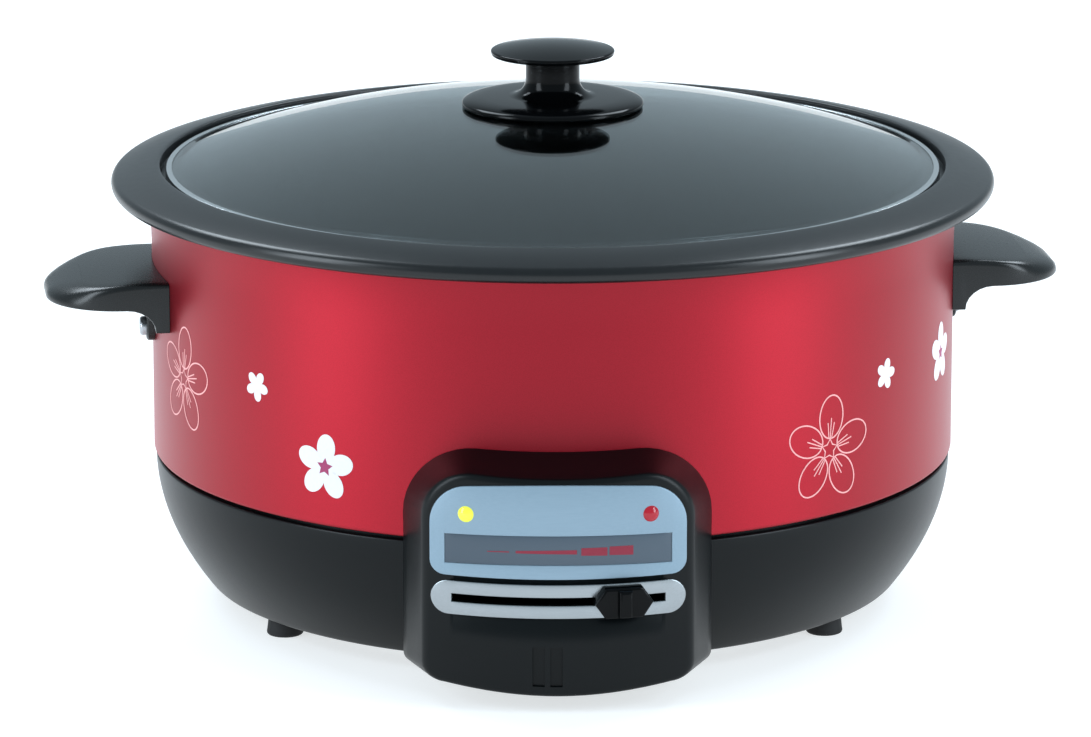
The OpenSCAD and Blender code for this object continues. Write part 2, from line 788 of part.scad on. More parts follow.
// What lies behind the curved face and over the curved lower edge
module panel_limit(inset) {
    intersection() {
        translate([0, pivot_y, 0]) cylinder(r = face_r - inset, h = shell_top, $fn = 128);
        translate([0, 0, panel_low + inset + crown_R]) rotate([90, 0, 0])
            cylinder(r = crown_R, h = 2 * face_front, $fn = 128);
    }
}

// A plate bent round the front face, cut to the outline that it is given
module face_plate(r_in, r_out, z) {
    intersection() {
        translate([0, pivot_y, 0]) difference() {
            cylinder(r = r_out, h = shell_top, $fn = 128);
            translate([0, 0, -cut]) cylinder(r = r_in, h = shell_top + 2 * cut, $fn = 128);
        }
        translate([0, pivot_y, z]) rotate([90, 0, 0]) linear_extrude(face_r + drill) children();
    }
}

module fascia_outline(grow) {
    w = fascia_w / 2 + grow;
    h = fascia_h / 2 + grow;
    polygon(concat(arc(w - fascia_low_r, fascia_low_r - h, fascia_low_r, -90, 0, 6),
        arc(w - fascia_top_r, h - fascia_top_r, fascia_top_r, 0, 90, 8),
        arc(fascia_top_r - w, h - fascia_top_r, fascia_top_r, 90, 180, 8),
        arc(fascia_low_r - w, fascia_low_r - h, fascia_low_r, 180, 270, 6)));
}

// A bar with round ends
module stadium(w, h) {
    polygon(concat(arc(w / 2 - h / 2, 0, h / 2, -90, 90, 16), arc(h / 2 - w / 2, 0, h / 2, 90, 270, 16)));
}

// Copies at the two lamps, with +Z pointing out of the face
module at_lamp(side) {
    translate([0, pivot_y, lens_z]) rotate(side * lens_angle - 90) rotate([0, 90, 0]) children();
}

module control_housing() {
    boss_in = 0.6;
    color([0.12, 0.13, 0.14]) difference() {
        union() {
            difference() {
                intersection() {
                    panel_block(0);
                    panel_limit(0);
                }
                intersection() {
                    panel_block(panel_wall);
                    panel_limit(panel_wall);
                }
            }
            intersection() {
                union() {
                    at_lower_panel_screws() translate([0, 0, lower_seat_r])
                        cylinder(r = boss_r, h = face_front - lower_seat_r);
                    at_upper_panel_screws() translate([0, 0, upper_seat_r])
                        cylinder(r = boss_r, h = face_front - upper_seat_r);
                    for (side = [-1, 1]) at_lamp(side) translate([0, 0, lamp_in_r])
                        cylinder(r = lens_tube_r, h = face_r - lamp_in_r);
                }
                panel_block(boss_in);
                panel_limit(boss_in);
            }
        }
        body_solid(pocket_fit);
        lower_panel_screw_holes();
        upper_panel_screw_holes();
        for (side = [-1, 1]) at_lamp(side) translate([0, 0, lamp_in_r - drill])
            cylinder(r = lens_r + screw_fit, h = face_r - lamp_in_r + 2 * drill);
        face_plate(face_r - plate_pocket, face_r + face_cut, fascia_z) fascia_outline(pocket_fit);
        face_plate(face_r - plate_pocket, face_r + face_cut, slot_z)
            stadium(slot_plate_w + 2 * pocket_fit, slot_plate_h + 2 * pocket_fit);
        face_plate(face_r - face_cut, face_r + face_cut, slot_z) square([slot_w, slot_h], center = true);
        notch();
    }
}

// The moulded notch low on the face, with a rib down its middle
module notch() {
    rib_w = 2;
    side_w = (notch_w - rib_w) / 2;
    for (side = [-1, 1]) face_plate(face_r - notch_depth, face_r + face_cut, 0)
        translate([side * (rib_w + side_w) / 2 - notch_shift, (notch_low + notch_top) / 2])
            square([side_w, notch_top - notch_low], center = true);
}

module panel_screws() {
    at_lower_panel_screws() translate([0, 0, lower_seat_r]) small_screw(lower_screw_len);
    at_upper_panel_screws() translate([0, 0, upper_seat_r]) small_screw(upper_screw_len);
}

module fascia_plate() {
    color([0.68, 0.75, 0.84]) difference() {
        face_plate(plate_in_r, plate_out_r, fascia_z) fascia_outline(0);
        face_plate(face_r - face_cut, face_r + face_cut, window_z)
            square([window_w + 2 * pocket_fit, window_h + 2 * pocket_fit], center = true);
        for (side = [-1, 1]) at_lamp(side) translate([0, 0, face_r - face_cut])
            cylinder(r = lens_r + screw_fit, h = 2 * face_cut);
    }
}

module scale_window() {
    color([0.55, 0.62, 0.7]) face_plate(plate_in_r, plate_out_r - window_depth, window_z)
        square([window_w, window_h], center = true);
}

module slot_plate() {
    color([0.85, 0.86, 0.88]) difference() {
        face_plate(plate_in_r, plate_out_r, slot_z) stadium(slot_plate_w, slot_plate_h);
        face_plate(face_r - face_cut, face_r + face_cut, slot_z) square([slot_w, slot_h], center = true);
    }
}

module lamp_lens(side) {
    dome_a = asin(lens_r / lens_dome_R);
    at_lamp(side) translate([0, 0, face_r - lens_len]) rotate_extrude() polygon(concat([[0, 0], [lens_r, 0]],
        arc(0, lens_len + plate_proud + lens_dome_h - lens_dome_R, lens_dome_R, 90 - dome_a, 90, 6)));
}

module warm_lamp_lens() { color([0.95, 0.8, 0.3]) lamp_lens(-1); }

module heat_lamp_lens() { color([0.85, 0.1, 0.15]) lamp_lens(1); }

module lamp_bulbs() {
    color([0.95, 0.9, 0.85]) for (side = [-1, 1]) at_lamp(side) translate([0, 0, lamp_in_r - loose_fit])
        rotate_extrude() polygon(concat([[0, 0], [bulb_r, 0]],
            arc(bulb_r - bulb_round, bulb_len - bulb_round, bulb_round, 0, 90, 6), [[0, bulb_len]]));
}

// One handle on the +X side: an ear whose top falls to its tip, with a flare and a screw tab below
module handle() {
    flare = [for (i = [0:8]) let (a = 90 * i / 8)
        [shell_r + flare_foot + flare_reach * (1 - cos(a)), flare_low + flare_drop * sin(a)]];
    in_r = shell_r - handle_w * handle_w / (8 * shell_r) - handle_in;
    tip = handle_reach - handle_corner_r;
    side = handle_w / 2 - handle_corner_r;
    difference() {
        union() {
            intersection() {
                rotate([90, 0, 0]) translate([0, 0, -handle_w / 2]) linear_extrude(handle_w)
                    polygon(concat([[in_r, flare_low]], flare, [[handle_reach, handle_z]],
                        [for (i = [0:12]) let (a = 90 * i / 12)
                            [shell_r + (handle_reach - shell_r) * cos(a),
                                handle_z + tip_edge + (handle_t - tip_edge) * sin(a)]],
                        [[in_r, handle_top]]));
                linear_extrude(2 * handle_top) polygon(concat([[in_r, -handle_w / 2]],
                    arc(tip, -side, handle_corner_r, -90, 0, 10), arc(tip, side, handle_corner_r, 0, 90, 10),
                    [[in_r, handle_w / 2]]));
                translate([shell_r, 0, handle_top - handle_crown_r]) sphere(r = handle_crown_r, $fn = 128);
            }
            translate([in_r, -tab_w / 2, tab_low]) cube([tab_face_r - in_r, tab_w, tab_drop + cut]);
            for (y = [-peg_y, peg_y]) translate([in_r - cut, y, peg_z]) rotate([0, 90, 0])
                cylinder(r = peg_r, h = peg_hold);
        }
        difference() {
            cylinder(r = handle_wall_r, h = 2 * handle_top, $fn = 128);
            for (y = [-peg_y, peg_y]) across_wall(y, peg_z) cylinder(r = peg_r, h = drill);
        }
        cylinder(r = peg_in_r, h = 2 * handle_top, $fn = 128);
        across_wall(0, tab_screw_z) cylinder(r = big_hole_r, h = drill);
    }
}

module right_handle() { color([0.13, 0.14, 0.15]) rotate(handle_turn) handle(); }

module left_handle() { color([0.13, 0.14, 0.15]) rotate(handle_turn + 180) handle(); }

module handle_screws() {
    color([0.78, 0.78, 0.8]) for (side = [0, 180]) rotate(handle_turn + side)
        translate([tab_face_r, 0, tab_screw_z]) rotate([0, -90, 0])
            screw(big_screw_r, big_head_r, handle_head_h, tab_face_r - handle_screw_in_r);
}

module handle_nuts() {
    color([0.7, 0.7, 0.72]) for (side = [0, 180]) rotate(handle_turn + side)
        translate([nut_out_r, 0, tab_screw_z]) rotate([0, -90, 0]) difference() {
            cylinder(r = nut_r, h = nut_t, $fn = 6);
            translate([0, 0, -cut]) cylinder(r = big_hole_r, h = nut_t + 2 * cut);
        }
}

// Cast heater plate with a groove for the element, a hole for the sensor and bores for the legs' studs
module heater_plate() {
    color([0.72, 0.72, 0.73]) difference() {
        translate([0, 0, heater_low]) cylinder(r = heater_r, h = heater_t, $fn = 128);
        translate([0, 0, heater_low - cut]) cylinder(r = sensor_r + 2 * loose_fit, h = heater_t + 2 * cut);
        translate([0, 0, heater_low]) rotate_extrude() translate([element_loop_r, 0])
            circle(r = element_r + pocket_fit);
        at_legs() translate([0, 0, heater_low - cut])
            cylinder(r = stud_r + screw_fit, h = stud_h + stud_spare + cut);
    }
}

// Sheathed element: an open loop whose two ends sit in ceramic beads with terminals below
module at_element_ends() {
    for (side = [-1, 1])
        rotate(90 + side * element_end_a) translate([element_loop_r, 0, heater_low]) children();
}

module heating_element() {
    color([0.45, 0.45, 0.47]) {
        translate([0, 0, heater_low]) rotate(90 + element_end_a)
            rotate_extrude(angle = 360 - 2 * element_end_a)
                translate([element_loop_r, 0]) circle(r = element_r);
        at_element_ends() {
            translate([0, 0, -bead_h]) cylinder(r = bead_r, h = bead_h - bead_gap);
            translate([0, 0, -bead_h - terminal_len]) cylinder(r = terminal_r, h = terminal_len + cut);
        }
    }
}

// Legs with a shoulder for the heat shield and a stud for the heater plate
module heater_legs() {
    color([0.66, 0.67, 0.69]) at_legs() difference() {
        rotate_extrude() polygon([[0, floor_z], [leg_r, floor_z], [leg_r, shield_z],
            [leg_r - leg_neck, shield_z], [leg_r - leg_neck, heater_low], [stud_r, heater_low],
            [stud_r, heater_low + stud_h], [0, heater_low + stud_h]]);
        translate([0, 0, floor_z - cut]) cylinder(r = screw_hole_r, h = leg_bore + cut);
    }
}

module leg_screws() {
    at_legs() translate([0, 0, base_z]) small_screw(base_wall + leg_screw_in);
}

// Thin reflector between heater and thermostat
module heat_shield() {
    hole_r = guide_r + loose_fit;
    color([0.8, 0.8, 0.81]) difference() {
        translate([0, 0, shield_z]) rotate_extrude($fn = 128) polygon([[hole_r, 0], [shield_r, 0],
            [shield_r, shield_rim_h], [shield_r - shield_t, shield_rim_h], [shield_r - shield_t, shield_t],
            [hole_r, shield_t]]);
        at_legs() translate([0, 0, shield_z - cut])
            cylinder(r = leg_r - leg_neck + pocket_fit, h = shield_t + 2 * cut);
        at_element_ends() translate([0, 0, -bead_h]) cylinder(r = bead_r + loose_fit, h = bead_h);
    }
}

module thermostat_body() {
    color([0.82, 0.8, 0.74]) difference() {
        translate([-thermostat_w / 2, pivot_y - thermostat_d / 2, bracket_top])
            cube([thermostat_w, thermostat_d, thermostat_h]);
        translate([0, pivot_y, thermostat_top - spindle_depth])
            cylinder(r = spindle_r + running_fit, h = spindle_depth + cut);
    }
}

module thermostat_bracket() {
    color([0.7, 0.7, 0.72]) difference() {
        union() {
            translate([-bracket_w / 2, bracket_foot_y, bracket_top - bracket_t])
                cube([bracket_w, bracket_back_y - bracket_foot_y, bracket_t]);
            translate([-bracket_w / 2, bracket_foot_y, floor_z])
                cube([bracket_w, bracket_t, bracket_top - floor_z]);
            translate([-bracket_w / 2, bracket_foot_y, floor_z]) cube([bracket_w, bracket_foot_d, bracket_t]);
        }
        at_bracket_screws() screw_hole(floor_z, bracket_t);
    }
}

module bracket_screws() {
    at_bracket_screws() translate([0, 0, base_z]) small_screw(base_wall + bracket_t + bracket_screw_out);
}

// Ceramic fuse under the heat shield
module thermal_fuse() {
    color([0.9, 0.88, 0.82]) translate([-fuse_len / 2, fuse_y, fuse_z]) rotate([0, 90, 0])
        cylinder(r = fuse_r, h = fuse_len);
}

// Flanged sleeve on the heat shield that guides the sensor's stem
module sensor_guide() {
    color([0.75, 0.72, 0.66]) rotate_extrude() polygon([[stem_r + running_fit, guide_low],
        [guide_r, guide_low], [guide_r, shield_z + shield_t], [guide_flange_r, shield_z + shield_t],
        [guide_flange_r, guide_top],
        [stem_r + running_fit, guide_top]]);
}

// Helix whose first and last turns lie flat
function spring_z(u) = let (body = spring_high - spring_low - 2 * spring_flat)
    u < spring_end_turn ? spring_low + spring_flat * u / spring_end_turn
    : u > spring_all - spring_end_turn ? spring_high - spring_flat * (spring_all - u) / spring_end_turn
    : spring_low + spring_flat + body * (u - spring_end_turn) / spring_turns;
spring_path = [for (i = [0:spring_all * spring_steps]) let (u = i / spring_steps)
    [spring_r * cos(360 * u), spring_r * sin(360 * u), spring_z(u)]];
spring_gap = min([for (i = [0:len(spring_path) - 1], k = [i + spring_steps / 2:len(spring_path) - 1])
    norm(spring_path[k] - spring_path[i])]) - 2 * spring_wire_r;
echo(str("Least gap between the spring's turns: ", spring_gap, " mm"));

module sensor_spring() { color([0.6, 0.6, 0.62]) tube(spring_path, spring_wire_r, spring_sides); }

module sensor_cap() {
    color([0.78, 0.78, 0.8]) rotate_extrude() polygon(concat([[0, stem_low], [stem_r, stem_low],
        [stem_r, clip_z], [groove_r, clip_z], [groove_r, clip_z + clip_t], [stem_r, clip_z + clip_t],
        [stem_r, sensor_low], [sensor_r, sensor_low]],
        arc(sensor_r - sensor_round, sensor_top - sensor_round, sensor_round, 0, 90, 6), [[0, sensor_top]]));
}

// Open clip in the stem's groove
module sensor_clip() {
    color([0.5, 0.5, 0.52]) translate([0, 0, clip_z + clip_gap]) difference() {
        cylinder(r = clip_r, h = clip_t - 2 * clip_gap);
        translate([0, 0, -cut]) cylinder(r = groove_r + clip_gap, h = clip_t + 2 * cut);
        translate([0, -groove_r, -cut]) cube([clip_r + cut, 2 * groove_r, clip_t + 2 * cut]);
    }
}

// Moulded inlet: a shroud through the base, a bezel outside it and a socket with three pins
module power_inlet() {
    color([0.1, 0.1, 0.11]) difference() {
        union() {
            translate([-inlet_w / 2, inlet_in_y, inlet_z - inlet_h / 2])
                cube([inlet_w, inlet_back - inlet_in_y, inlet_h]);
            difference() {
                translate([-bezel_w / 2, bezel_back - drill, inlet_z - bezel_h / 2])
                    cube([bezel_w, drill, bezel_h]);
                body_solid(pocket_fit);
            }
        }
        translate([-socket_w / 2, inlet_back - socket_d, inlet_z - socket_h / 2])
            cube([socket_w, socket_d + cut, socket_h]);
        at_pins(screw_fit);
        at_inlet_screws() screw_hole(-drill, 2 * drill);
    }
}

// The three pins, or the slots that hold them when they are grown
module at_pins(grow) {
    for (p = [[-pin_pitch / 2, 0], [pin_pitch / 2, 0], [0, -earth_drop]])
        translate([p[0] - pin_w / 2 - grow, pin_in_y, inlet_z + p[1] - pin_h / 2 - grow])
            cube([pin_w + 2 * grow, pin_out_y - pin_in_y, pin_h + 2 * grow]);
}

module inlet_pins() { color([0.8, 0.68, 0.35]) at_pins(0); }

module inlet_screws() {
    at_inlet_screws() rotate([180, 0, 0]) small_screw(inlet_screw_len);
}

module wiring() {
    color([0.55, 0.12, 0.1]) for (route = [live_wire, neutral_wire, fuse_wire, heat_wire])
        tube(spline(route, wire_steps), wire_r, wire_sides);
}

// Pot with a wide rim that hooks over the shell and a recess for the lid
module inner_pot() {
    in_corner = pot_corner_r - pot_wall;
    in_bottom = pot_bottom + pot_wall;
    color([0.2, 0.21, 0.22]) rotate_extrude($fn = 128) polygon(concat(
        [[rim_r - pot_wall, rim_low], [rim_r - rim_low_bevel, rim_low], [rim_r, rim_low + rim_low_bevel]],
        arc(rim_r - rim_round, rim_edge - rim_round, rim_round, 0, rim_edge_angle, 8),
        [[lip_r + lip_flat, lip_z], [lip_r, lip_z - lip_bevel], [lip_r, seat_z], [pot_in_r, seat_z]],
        arc(pot_in_r - in_corner, in_bottom + in_corner, in_corner, 0, -90, 12),
        [[0, in_bottom], [0, pot_bottom]],
        arc(pot_r - pot_corner_r, pot_bottom + pot_corner_r, pot_corner_r, -90, 0, 12),
        [[pot_r, rim_under], [rim_r - pot_wall - rim_fillet, rim_under],
        [rim_r - pot_wall, rim_under - rim_fillet]]));
}

// Domed glass with a flat edge for the band and a hole for the knob's screw
module lid_glass() {
    in_R = dome_R - glass_t;
    center_z = glass_apex - dome_R;
    dome_a = asin(dome_r / dome_R);
    hole_a = asin(glass_hole_r / dome_R);
    in_hole_a = asin(glass_hole_r / in_R);
    in_a = acos((glass_z - center_z) / in_R);
    color([0.6, 0.65, 0.68, 0.5]) rotate_extrude($fn = 128) polygon(concat(
        [[glass_r, glass_z], [glass_r, glass_rim_top]],
        arc(0, center_z, dome_R, 90 - dome_a, 90 - hole_a, 20),
        arc(0, center_z, in_R, 90 - in_hole_a, 90 - in_a, 20)));
}

// Steel channel crimped round the edge of the glass
module lid_band() {
    band_top = lid_z + band_h;
    color([0.86, 0.87, 0.88]) rotate_extrude($fn = 128) polygon([[band_in_r, lid_z], [lid_r, lid_z],
        [lid_r, band_top], [band_in_r, band_top], [band_in_r, band_top - band_t],
        [lid_r - band_t, band_top - band_t], [lid_r - band_t, lid_z + band_t], [band_in_r, lid_z + band_t]]);
}

module knob_washer() {
    color([0.15, 0.15, 0.15]) translate([0, 0, glass_apex]) difference() {
        cylinder(r = knob_washer_r, h = knob_washer_t);
        translate([0, 0, -cut]) cylinder(r = glass_hole_r, h = knob_washer_t + 2 * cut);
    }
}

// Disc with a lip that keeps the hand off the hot glass
module knob_heat_guard() {
    lip_w = 2;
    lip_slope = 2;
    edge = 0.8;
    shoulder_r = (neck_foot_r + skirt_r) / 2;
    shoulder_drop = 0.3;
    color([0.2, 0.21, 0.22]) rotate_extrude($fn = 128) polygon([[big_hole_r, knob_z],
        [skirt_r - lip_w - lip_slope, knob_z], [skirt_r - lip_w, skirt_low], [skirt_r - edge, skirt_low],
        [skirt_r, skirt_low + edge], [skirt_r, skirt_top - edge], [skirt_r - edge, skirt_top],
        [shoulder_r, neck_z - shoulder_drop], [neck_foot_r, neck_z], [big_hole_r, neck_z]]);
}

// Waisted neck with a bore for the screw
module knob_neck() {
    foot = neck_foot_r - neck_r;
    top = 2;
    color([0.12, 0.12, 0.13]) difference() {
        rotate_extrude() polygon(concat([[0, neck_z]],
            [for (i = [0:8]) let (a = 90 * i / 8)
                [neck_r + foot * (1 - sin(a)), neck_z + foot * (1 - cos(a))]],
            [for (i = [0:4]) let (a = 90 * i / 4)
                [neck_r + top * (1 - cos(a)), cap_z - top + top * sin(a)]],
            [[0, cap_z]]));
        translate([0, 0, neck_z - cut]) cylinder(r = big_hole_r, h = knob_bore_depth + cut);
    }
}

// Rounded cap with a shallow dome
module knob_cap() {
    edge = cap_edge_h / 2;
    sink = 0.3;
    color([0.14, 0.15, 0.16]) rotate_extrude($fn = 128) polygon(concat([[0, cap_z]],
        arc(cap_r - edge, cap_z + edge, edge, -90, 60, 10),
        [for (i = [0:12]) let (r = (cap_r - edge / 2) * (1 - i / 12))
            [r, cap_edge_top - sink + cap_dome_h * (1 - pow(r / cap_r, 2))]]));
}

module lid_washer() {
    color([0.75, 0.75, 0.77]) translate([0, 0, lid_washer_z]) difference() {
        cylinder(r = lid_washer_r, h = lid_washer_t);
        translate([0, 0, -cut]) cylinder(r = big_hole_r, h = lid_washer_t + 2 * cut);
    }
}

module knob_screw() {
    color([0.75, 0.75, 0.77]) translate([0, 0, lid_washer_z])
        screw(big_screw_r, knob_head_r, knob_head_h,
            neck_z + knob_bore_depth - knob_bore_spare - lid_washer_z);
}

// Everything on the lever turns about the spindle
module on_lever() {
    translate([0, pivot_y, 0]) rotate(lever_angle) translate([0, -pivot_y, 0]) children();
}

// Six-sided slider with a finger ridge
module slider_knob() {
    point = 4;
    ridge_w = 5;
    ridge_end = 0.6;
    seat_spare = 0.2;
    tip = slider_w / 2;
    shoulder = tip - point;
    half_h = slider_h / 2;
    color([0.1, 0.1, 0.11]) on_lever() difference() {
        union() {
            face_plate(slider_in_r, slider_in_r + slider_d, slot_z) polygon([[-tip, 0], [-shoulder, -half_h],
                [shoulder, -half_h], [tip, 0], [shoulder, half_h], [-shoulder, half_h]]);
            face_plate(slider_in_r + slider_d - cut, slider_in_r + slider_d + ridge_d, slot_z)
                square([ridge_w, slider_h - 2 * ridge_end], center = true);
        }
        translate([-lever_w / 2 - screw_fit, pivot_y - lever_len - seat_spare,
            slot_z - lever_t / 2 - screw_fit])
            cube([lever_w + 2 * screw_fit, lever_len, lever_t + 2 * screw_fit]);
    }
}

// Flat lever with a hub on the spindle
module lever_arm() {
    color([0.72, 0.72, 0.74]) on_lever() translate([0, pivot_y, 0]) difference() {
        union() {
            translate([0, 0, hub_z]) cylinder(r = hub_r, h = hub_h);
            translate([-lever_w / 2, -lever_len, slot_z - lever_t / 2]) cube([lever_w, lever_len, lever_t]);
        }
        translate([0, 0, hub_z - cut]) cylinder(r = spindle_r + running_fit, h = hub_h + 2 * cut);
    }
}

module thermostat_spindle() {
    color([0.78, 0.78, 0.8]) translate([0, pivot_y, spindle_z])
        cylinder(r = spindle_r, h = hub_z + hub_h + spindle_out - spindle_z);
}

outer_shell();
base_shell();
bottom_cover();
cover_screws();
rubber_feet();
foot_screws();
control_housing();
panel_screws();
fascia_plate();
scale_window();
slot_plate();
warm_lamp_lens();
heat_lamp_lens();
lamp_bulbs();
left_handle();
right_handle();
handle_screws();
handle_nuts();
heater_plate();
heating_element();
heater_legs();
leg_screws();
heat_shield();
thermostat_body();
thermostat_bracket();
bracket_screws();
thermal_fuse();
sensor_guide();
sensor_spring();
sensor_cap();
sensor_clip();
power_inlet();
inlet_pins();
inlet_screws();
wiring();
inner_pot();
lid_glass();
lid_band();
knob_washer();
knob_heat_guard();
knob_neck();
knob_cap();
lid_washer();
knob_screw();
slider_knob();
lever_arm();
thermostat_spindle();
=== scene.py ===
import json
import math

import bmesh
import bpy
from mathutils import Matrix, Vector


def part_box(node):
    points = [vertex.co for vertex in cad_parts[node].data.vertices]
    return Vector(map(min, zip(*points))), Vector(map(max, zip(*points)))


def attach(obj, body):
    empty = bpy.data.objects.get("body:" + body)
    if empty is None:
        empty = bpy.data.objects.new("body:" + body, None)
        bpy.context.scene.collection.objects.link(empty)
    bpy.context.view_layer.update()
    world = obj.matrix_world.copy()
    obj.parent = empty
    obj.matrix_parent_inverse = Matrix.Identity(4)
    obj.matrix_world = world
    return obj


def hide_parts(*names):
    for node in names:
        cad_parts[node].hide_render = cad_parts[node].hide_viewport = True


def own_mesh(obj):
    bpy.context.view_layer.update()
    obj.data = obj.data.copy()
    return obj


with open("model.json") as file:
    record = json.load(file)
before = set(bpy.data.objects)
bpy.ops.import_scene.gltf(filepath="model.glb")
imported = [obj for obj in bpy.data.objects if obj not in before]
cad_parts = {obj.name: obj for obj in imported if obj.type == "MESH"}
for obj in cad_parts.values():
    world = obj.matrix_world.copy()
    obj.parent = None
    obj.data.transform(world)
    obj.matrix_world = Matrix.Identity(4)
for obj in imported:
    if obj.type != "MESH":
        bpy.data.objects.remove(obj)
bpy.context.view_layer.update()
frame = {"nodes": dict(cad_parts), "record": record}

scene = bpy.context.scene

MM = 0.001
TURN_STEPS = 192
SHARP_ANGLE = 32

# Sizes in millimetres, in the frame of the part: the origin is on the table, the panel faces -Y
SHELL_R = 154.8
SHELL_WALL = 0.8
SHELL_LOW = 58.5
SHELL_TOP = 163.0
SHELL_FLARE = 2.2
FLARE_H = 24.0
SHELL_ROLL = 1.5
LEDGE_R = 147.0
HEM_R = 151.8
BASE_LOW = 8.0
BASE_TOP = 57.0
BASE_LOW_R = 134.5
BASE_TOP_R = 154.0
BASE_WALL = 2.6
BASE_IN_R = 91.0
SEAM_R = 151.0
LEDGE_H = 4.0

RIM_R = 170.0
RIM_ROLL_Z = 163.0
RIM_ROLL = 3.2
RIM_TOP_BEND = (160.35, 168.75)
RIM_UNDER = 163.5
RIM_WALL = 2.2
LIP_R = 151.3
LIP_FLAT = 1.5
LIP_Z = 169.7
SEAT_Z = 164.8
POT_R = 148.7
POT_IN_R = 146.5
POT_CORNER = 40.0
POT_LOW = 71.1

BAND_R = 149.1
BAND_IN_R = 146.7
BAND_LOW = 165.1
BAND_TOP = 168.5
BAND_SHEET = 0.5
GLASS_R = 148.45
GLASS_LOW = 165.6
GLASS_T = 2.6
DOME_R = 146.3
GLASS_APEX = 192.0
GLASS_HOLE_R = 3.0

GUARD_R = 35.0
GUARD_LOW = 191.1
GUARD_EDGE = 192.1
GUARD_SHOULDER = (26.0, 194.7)
KNOB_Z = 193.2
NECK_FOOT_R = 17.0
NECK_Z = 195.0
NECK_R = 10.4
CAP_Z = 210.8
CAP_R = 23.8
CAP_EDGE_TOP = 213.0
CAP_DOME = 2.7

PIVOT_Y = -66.0
FACE_R = 111.0
FRONT_Y = -182.0
FRONT_HALF = 43.7
FRONT_TOP = 87.33
FRONT_CORNER = 12.0
SIDE_Y = -143.9
BACK_HALF = 57.0
BACK_TOP = 96.25
BACK_CORNER = 28.0
PANEL_LOW = 6.5
FRONT_CROWN = 8.3
BACK_CROWN = 4.8
FRONT_LOW_CORNER = 8.5
BACK_LOW_CORNER = 4.5
PANEL_WALL = 2.2
FACE_ROUND = 2.2
SEAT_GAP = 0.15
FASCIA_W = 94.0
FASCIA_LOW = 51.4
FASCIA_TOP = 86.4
FASCIA_TOP_R = 13.0
FASCIA_LOW_R = 5.0
FASCIA_ARCH = 1.5
FASCIA_ARCH_X = 34.0
WINDOW_W = 83.0
WINDOW_LOW = 56.8
WINDOW_TOP = 67.8
WINDOW_DROOP = 0.8
LENS_R = 3.0
LENS_Z = 75.0
LENS_ANGLE = 17.6
LENS_DOME = 1.25
SLOT_PLATE_W = 93.4
SLOT_PLATE_H = 12.8
SLOT_Z = 43.0
SLOT_W = 78.2
SLOT_H = 3.0
PLATE_PROUD = 0.7
PLATE_DEPTH = 1.5
WINDOW_SUNK = 0.3
NOTCH_X = -4.0
NOTCH_LOW = 10.5
NOTCH_TOP = 25.5
NOTCH_W = 11.0
NOTCH_RIB = 2.0
NOTCH_DEPTH = 1.2
LEVER_ANGLE = 12.0
SLIDER_W = 22.0
SLIDER_H = 11.4
SLIDER_POINT = 4.0
SLIDER_IN_R = 112.0
SLIDER_R = 116.5
RIDGE_R = 119.0
RIDGE_W = 5.0
RIDGE_H = 10.2

HANDLE_TURN = 6.5
HANDLE_REACH = 196.4
HANDLE_HALF = 35.0
HANDLE_CORNER = 28.0
HANDLE_LOW = 122.4
HANDLE_TOP = 134.0
HANDLE_LONG_R = 140.0
HANDLE_CROSS_R = 600.0
HANDLE_WALL_R = 154.95
HANDLE_SIDE_ROUND = 2.2
HANDLE_TIP_ROUND = 14.0
HANDLE_LOW_ROUND = 1.1
HANDLE_FLARE_X = 156.0
HANDLE_FLARE_REACH = 11.0
HANDLE_FLARE_DROP = 9.0
TAB_W = 16.0
TAB_LOW = 103.4
TAB_TOP = 115.0
TAB_FACE = 157.8

SPRING_R = 9.0
SPRING_WIRE = 0.58
SPRING_TURNS = 6
SPRING_FLAT = 1.7

INLET_Z = 36.0
INLET_W = 34.0
INLET_H = 28.0
INLET_IN_Y = 141.0
INLET_BACK = 180.0
SOCKET_W = 26.0
SOCKET_H = 19.0
SOCKET_D = 21.0
BEZEL_W = 56.0
BEZEL_H = 34.0
BEZEL_BACK = 159.0


def paint(red, green, blue):
    """A colour as it looks on a screen, 0 to 255, turned into the linear values that shaders take."""
    values = []
    for part in (red, green, blue):
        share = part / 255
        values.append(share / 12.92 if share <= 0.04045 else ((share + 0.055) / 1.055) ** 2.4)
    return (*values, 1.0)


# Node groups: each mixes two colours and two roughnesses by its own mask
CLOUD_DETAIL = 4
FLECK_CORE = 0.15
FLECK_EDGE = 0.6
STREAK_STRETCH = (0.03, 1, 1)
GROUP_INPUTS = {"Scale": "NodeSocketFloat", "Colour A": "NodeSocketColor", "Colour B": "NodeSocketColor",
    "Roughness A": "NodeSocketFloat", "Roughness B": "NodeSocketFloat"}
GROUP_OUTPUTS = {"Colour": "NodeSocketColor", "Roughness": "NodeSocketFloat", "Height": "NodeSocketFloat"}


def cloud_mask(nodes, links, place, scale):
    """Soft clouds."""
    noise = nodes.new("ShaderNodeTexNoise")
    noise.inputs["Detail"].default_value = CLOUD_DETAIL
    links.new(place, noise.inputs["Vector"])
    links.new(scale, noise.inputs["Scale"])
    return noise.outputs[0]


def fleck_mask(nodes, links, place, scale):
    """Fine flecks with soft edges."""
    cells = nodes.new("ShaderNodeTexVoronoi")
    links.new(place, cells.inputs["Vector"])
    links.new(scale, cells.inputs["Scale"])
    spread = nodes.new("ShaderNodeMapRange")
    spread.inputs["From Min"].default_value = FLECK_CORE
    spread.inputs["From Max"].default_value = FLECK_EDGE
    links.new(cells.outputs["Distance"], spread.inputs["Value"])
    return spread.outputs[0]


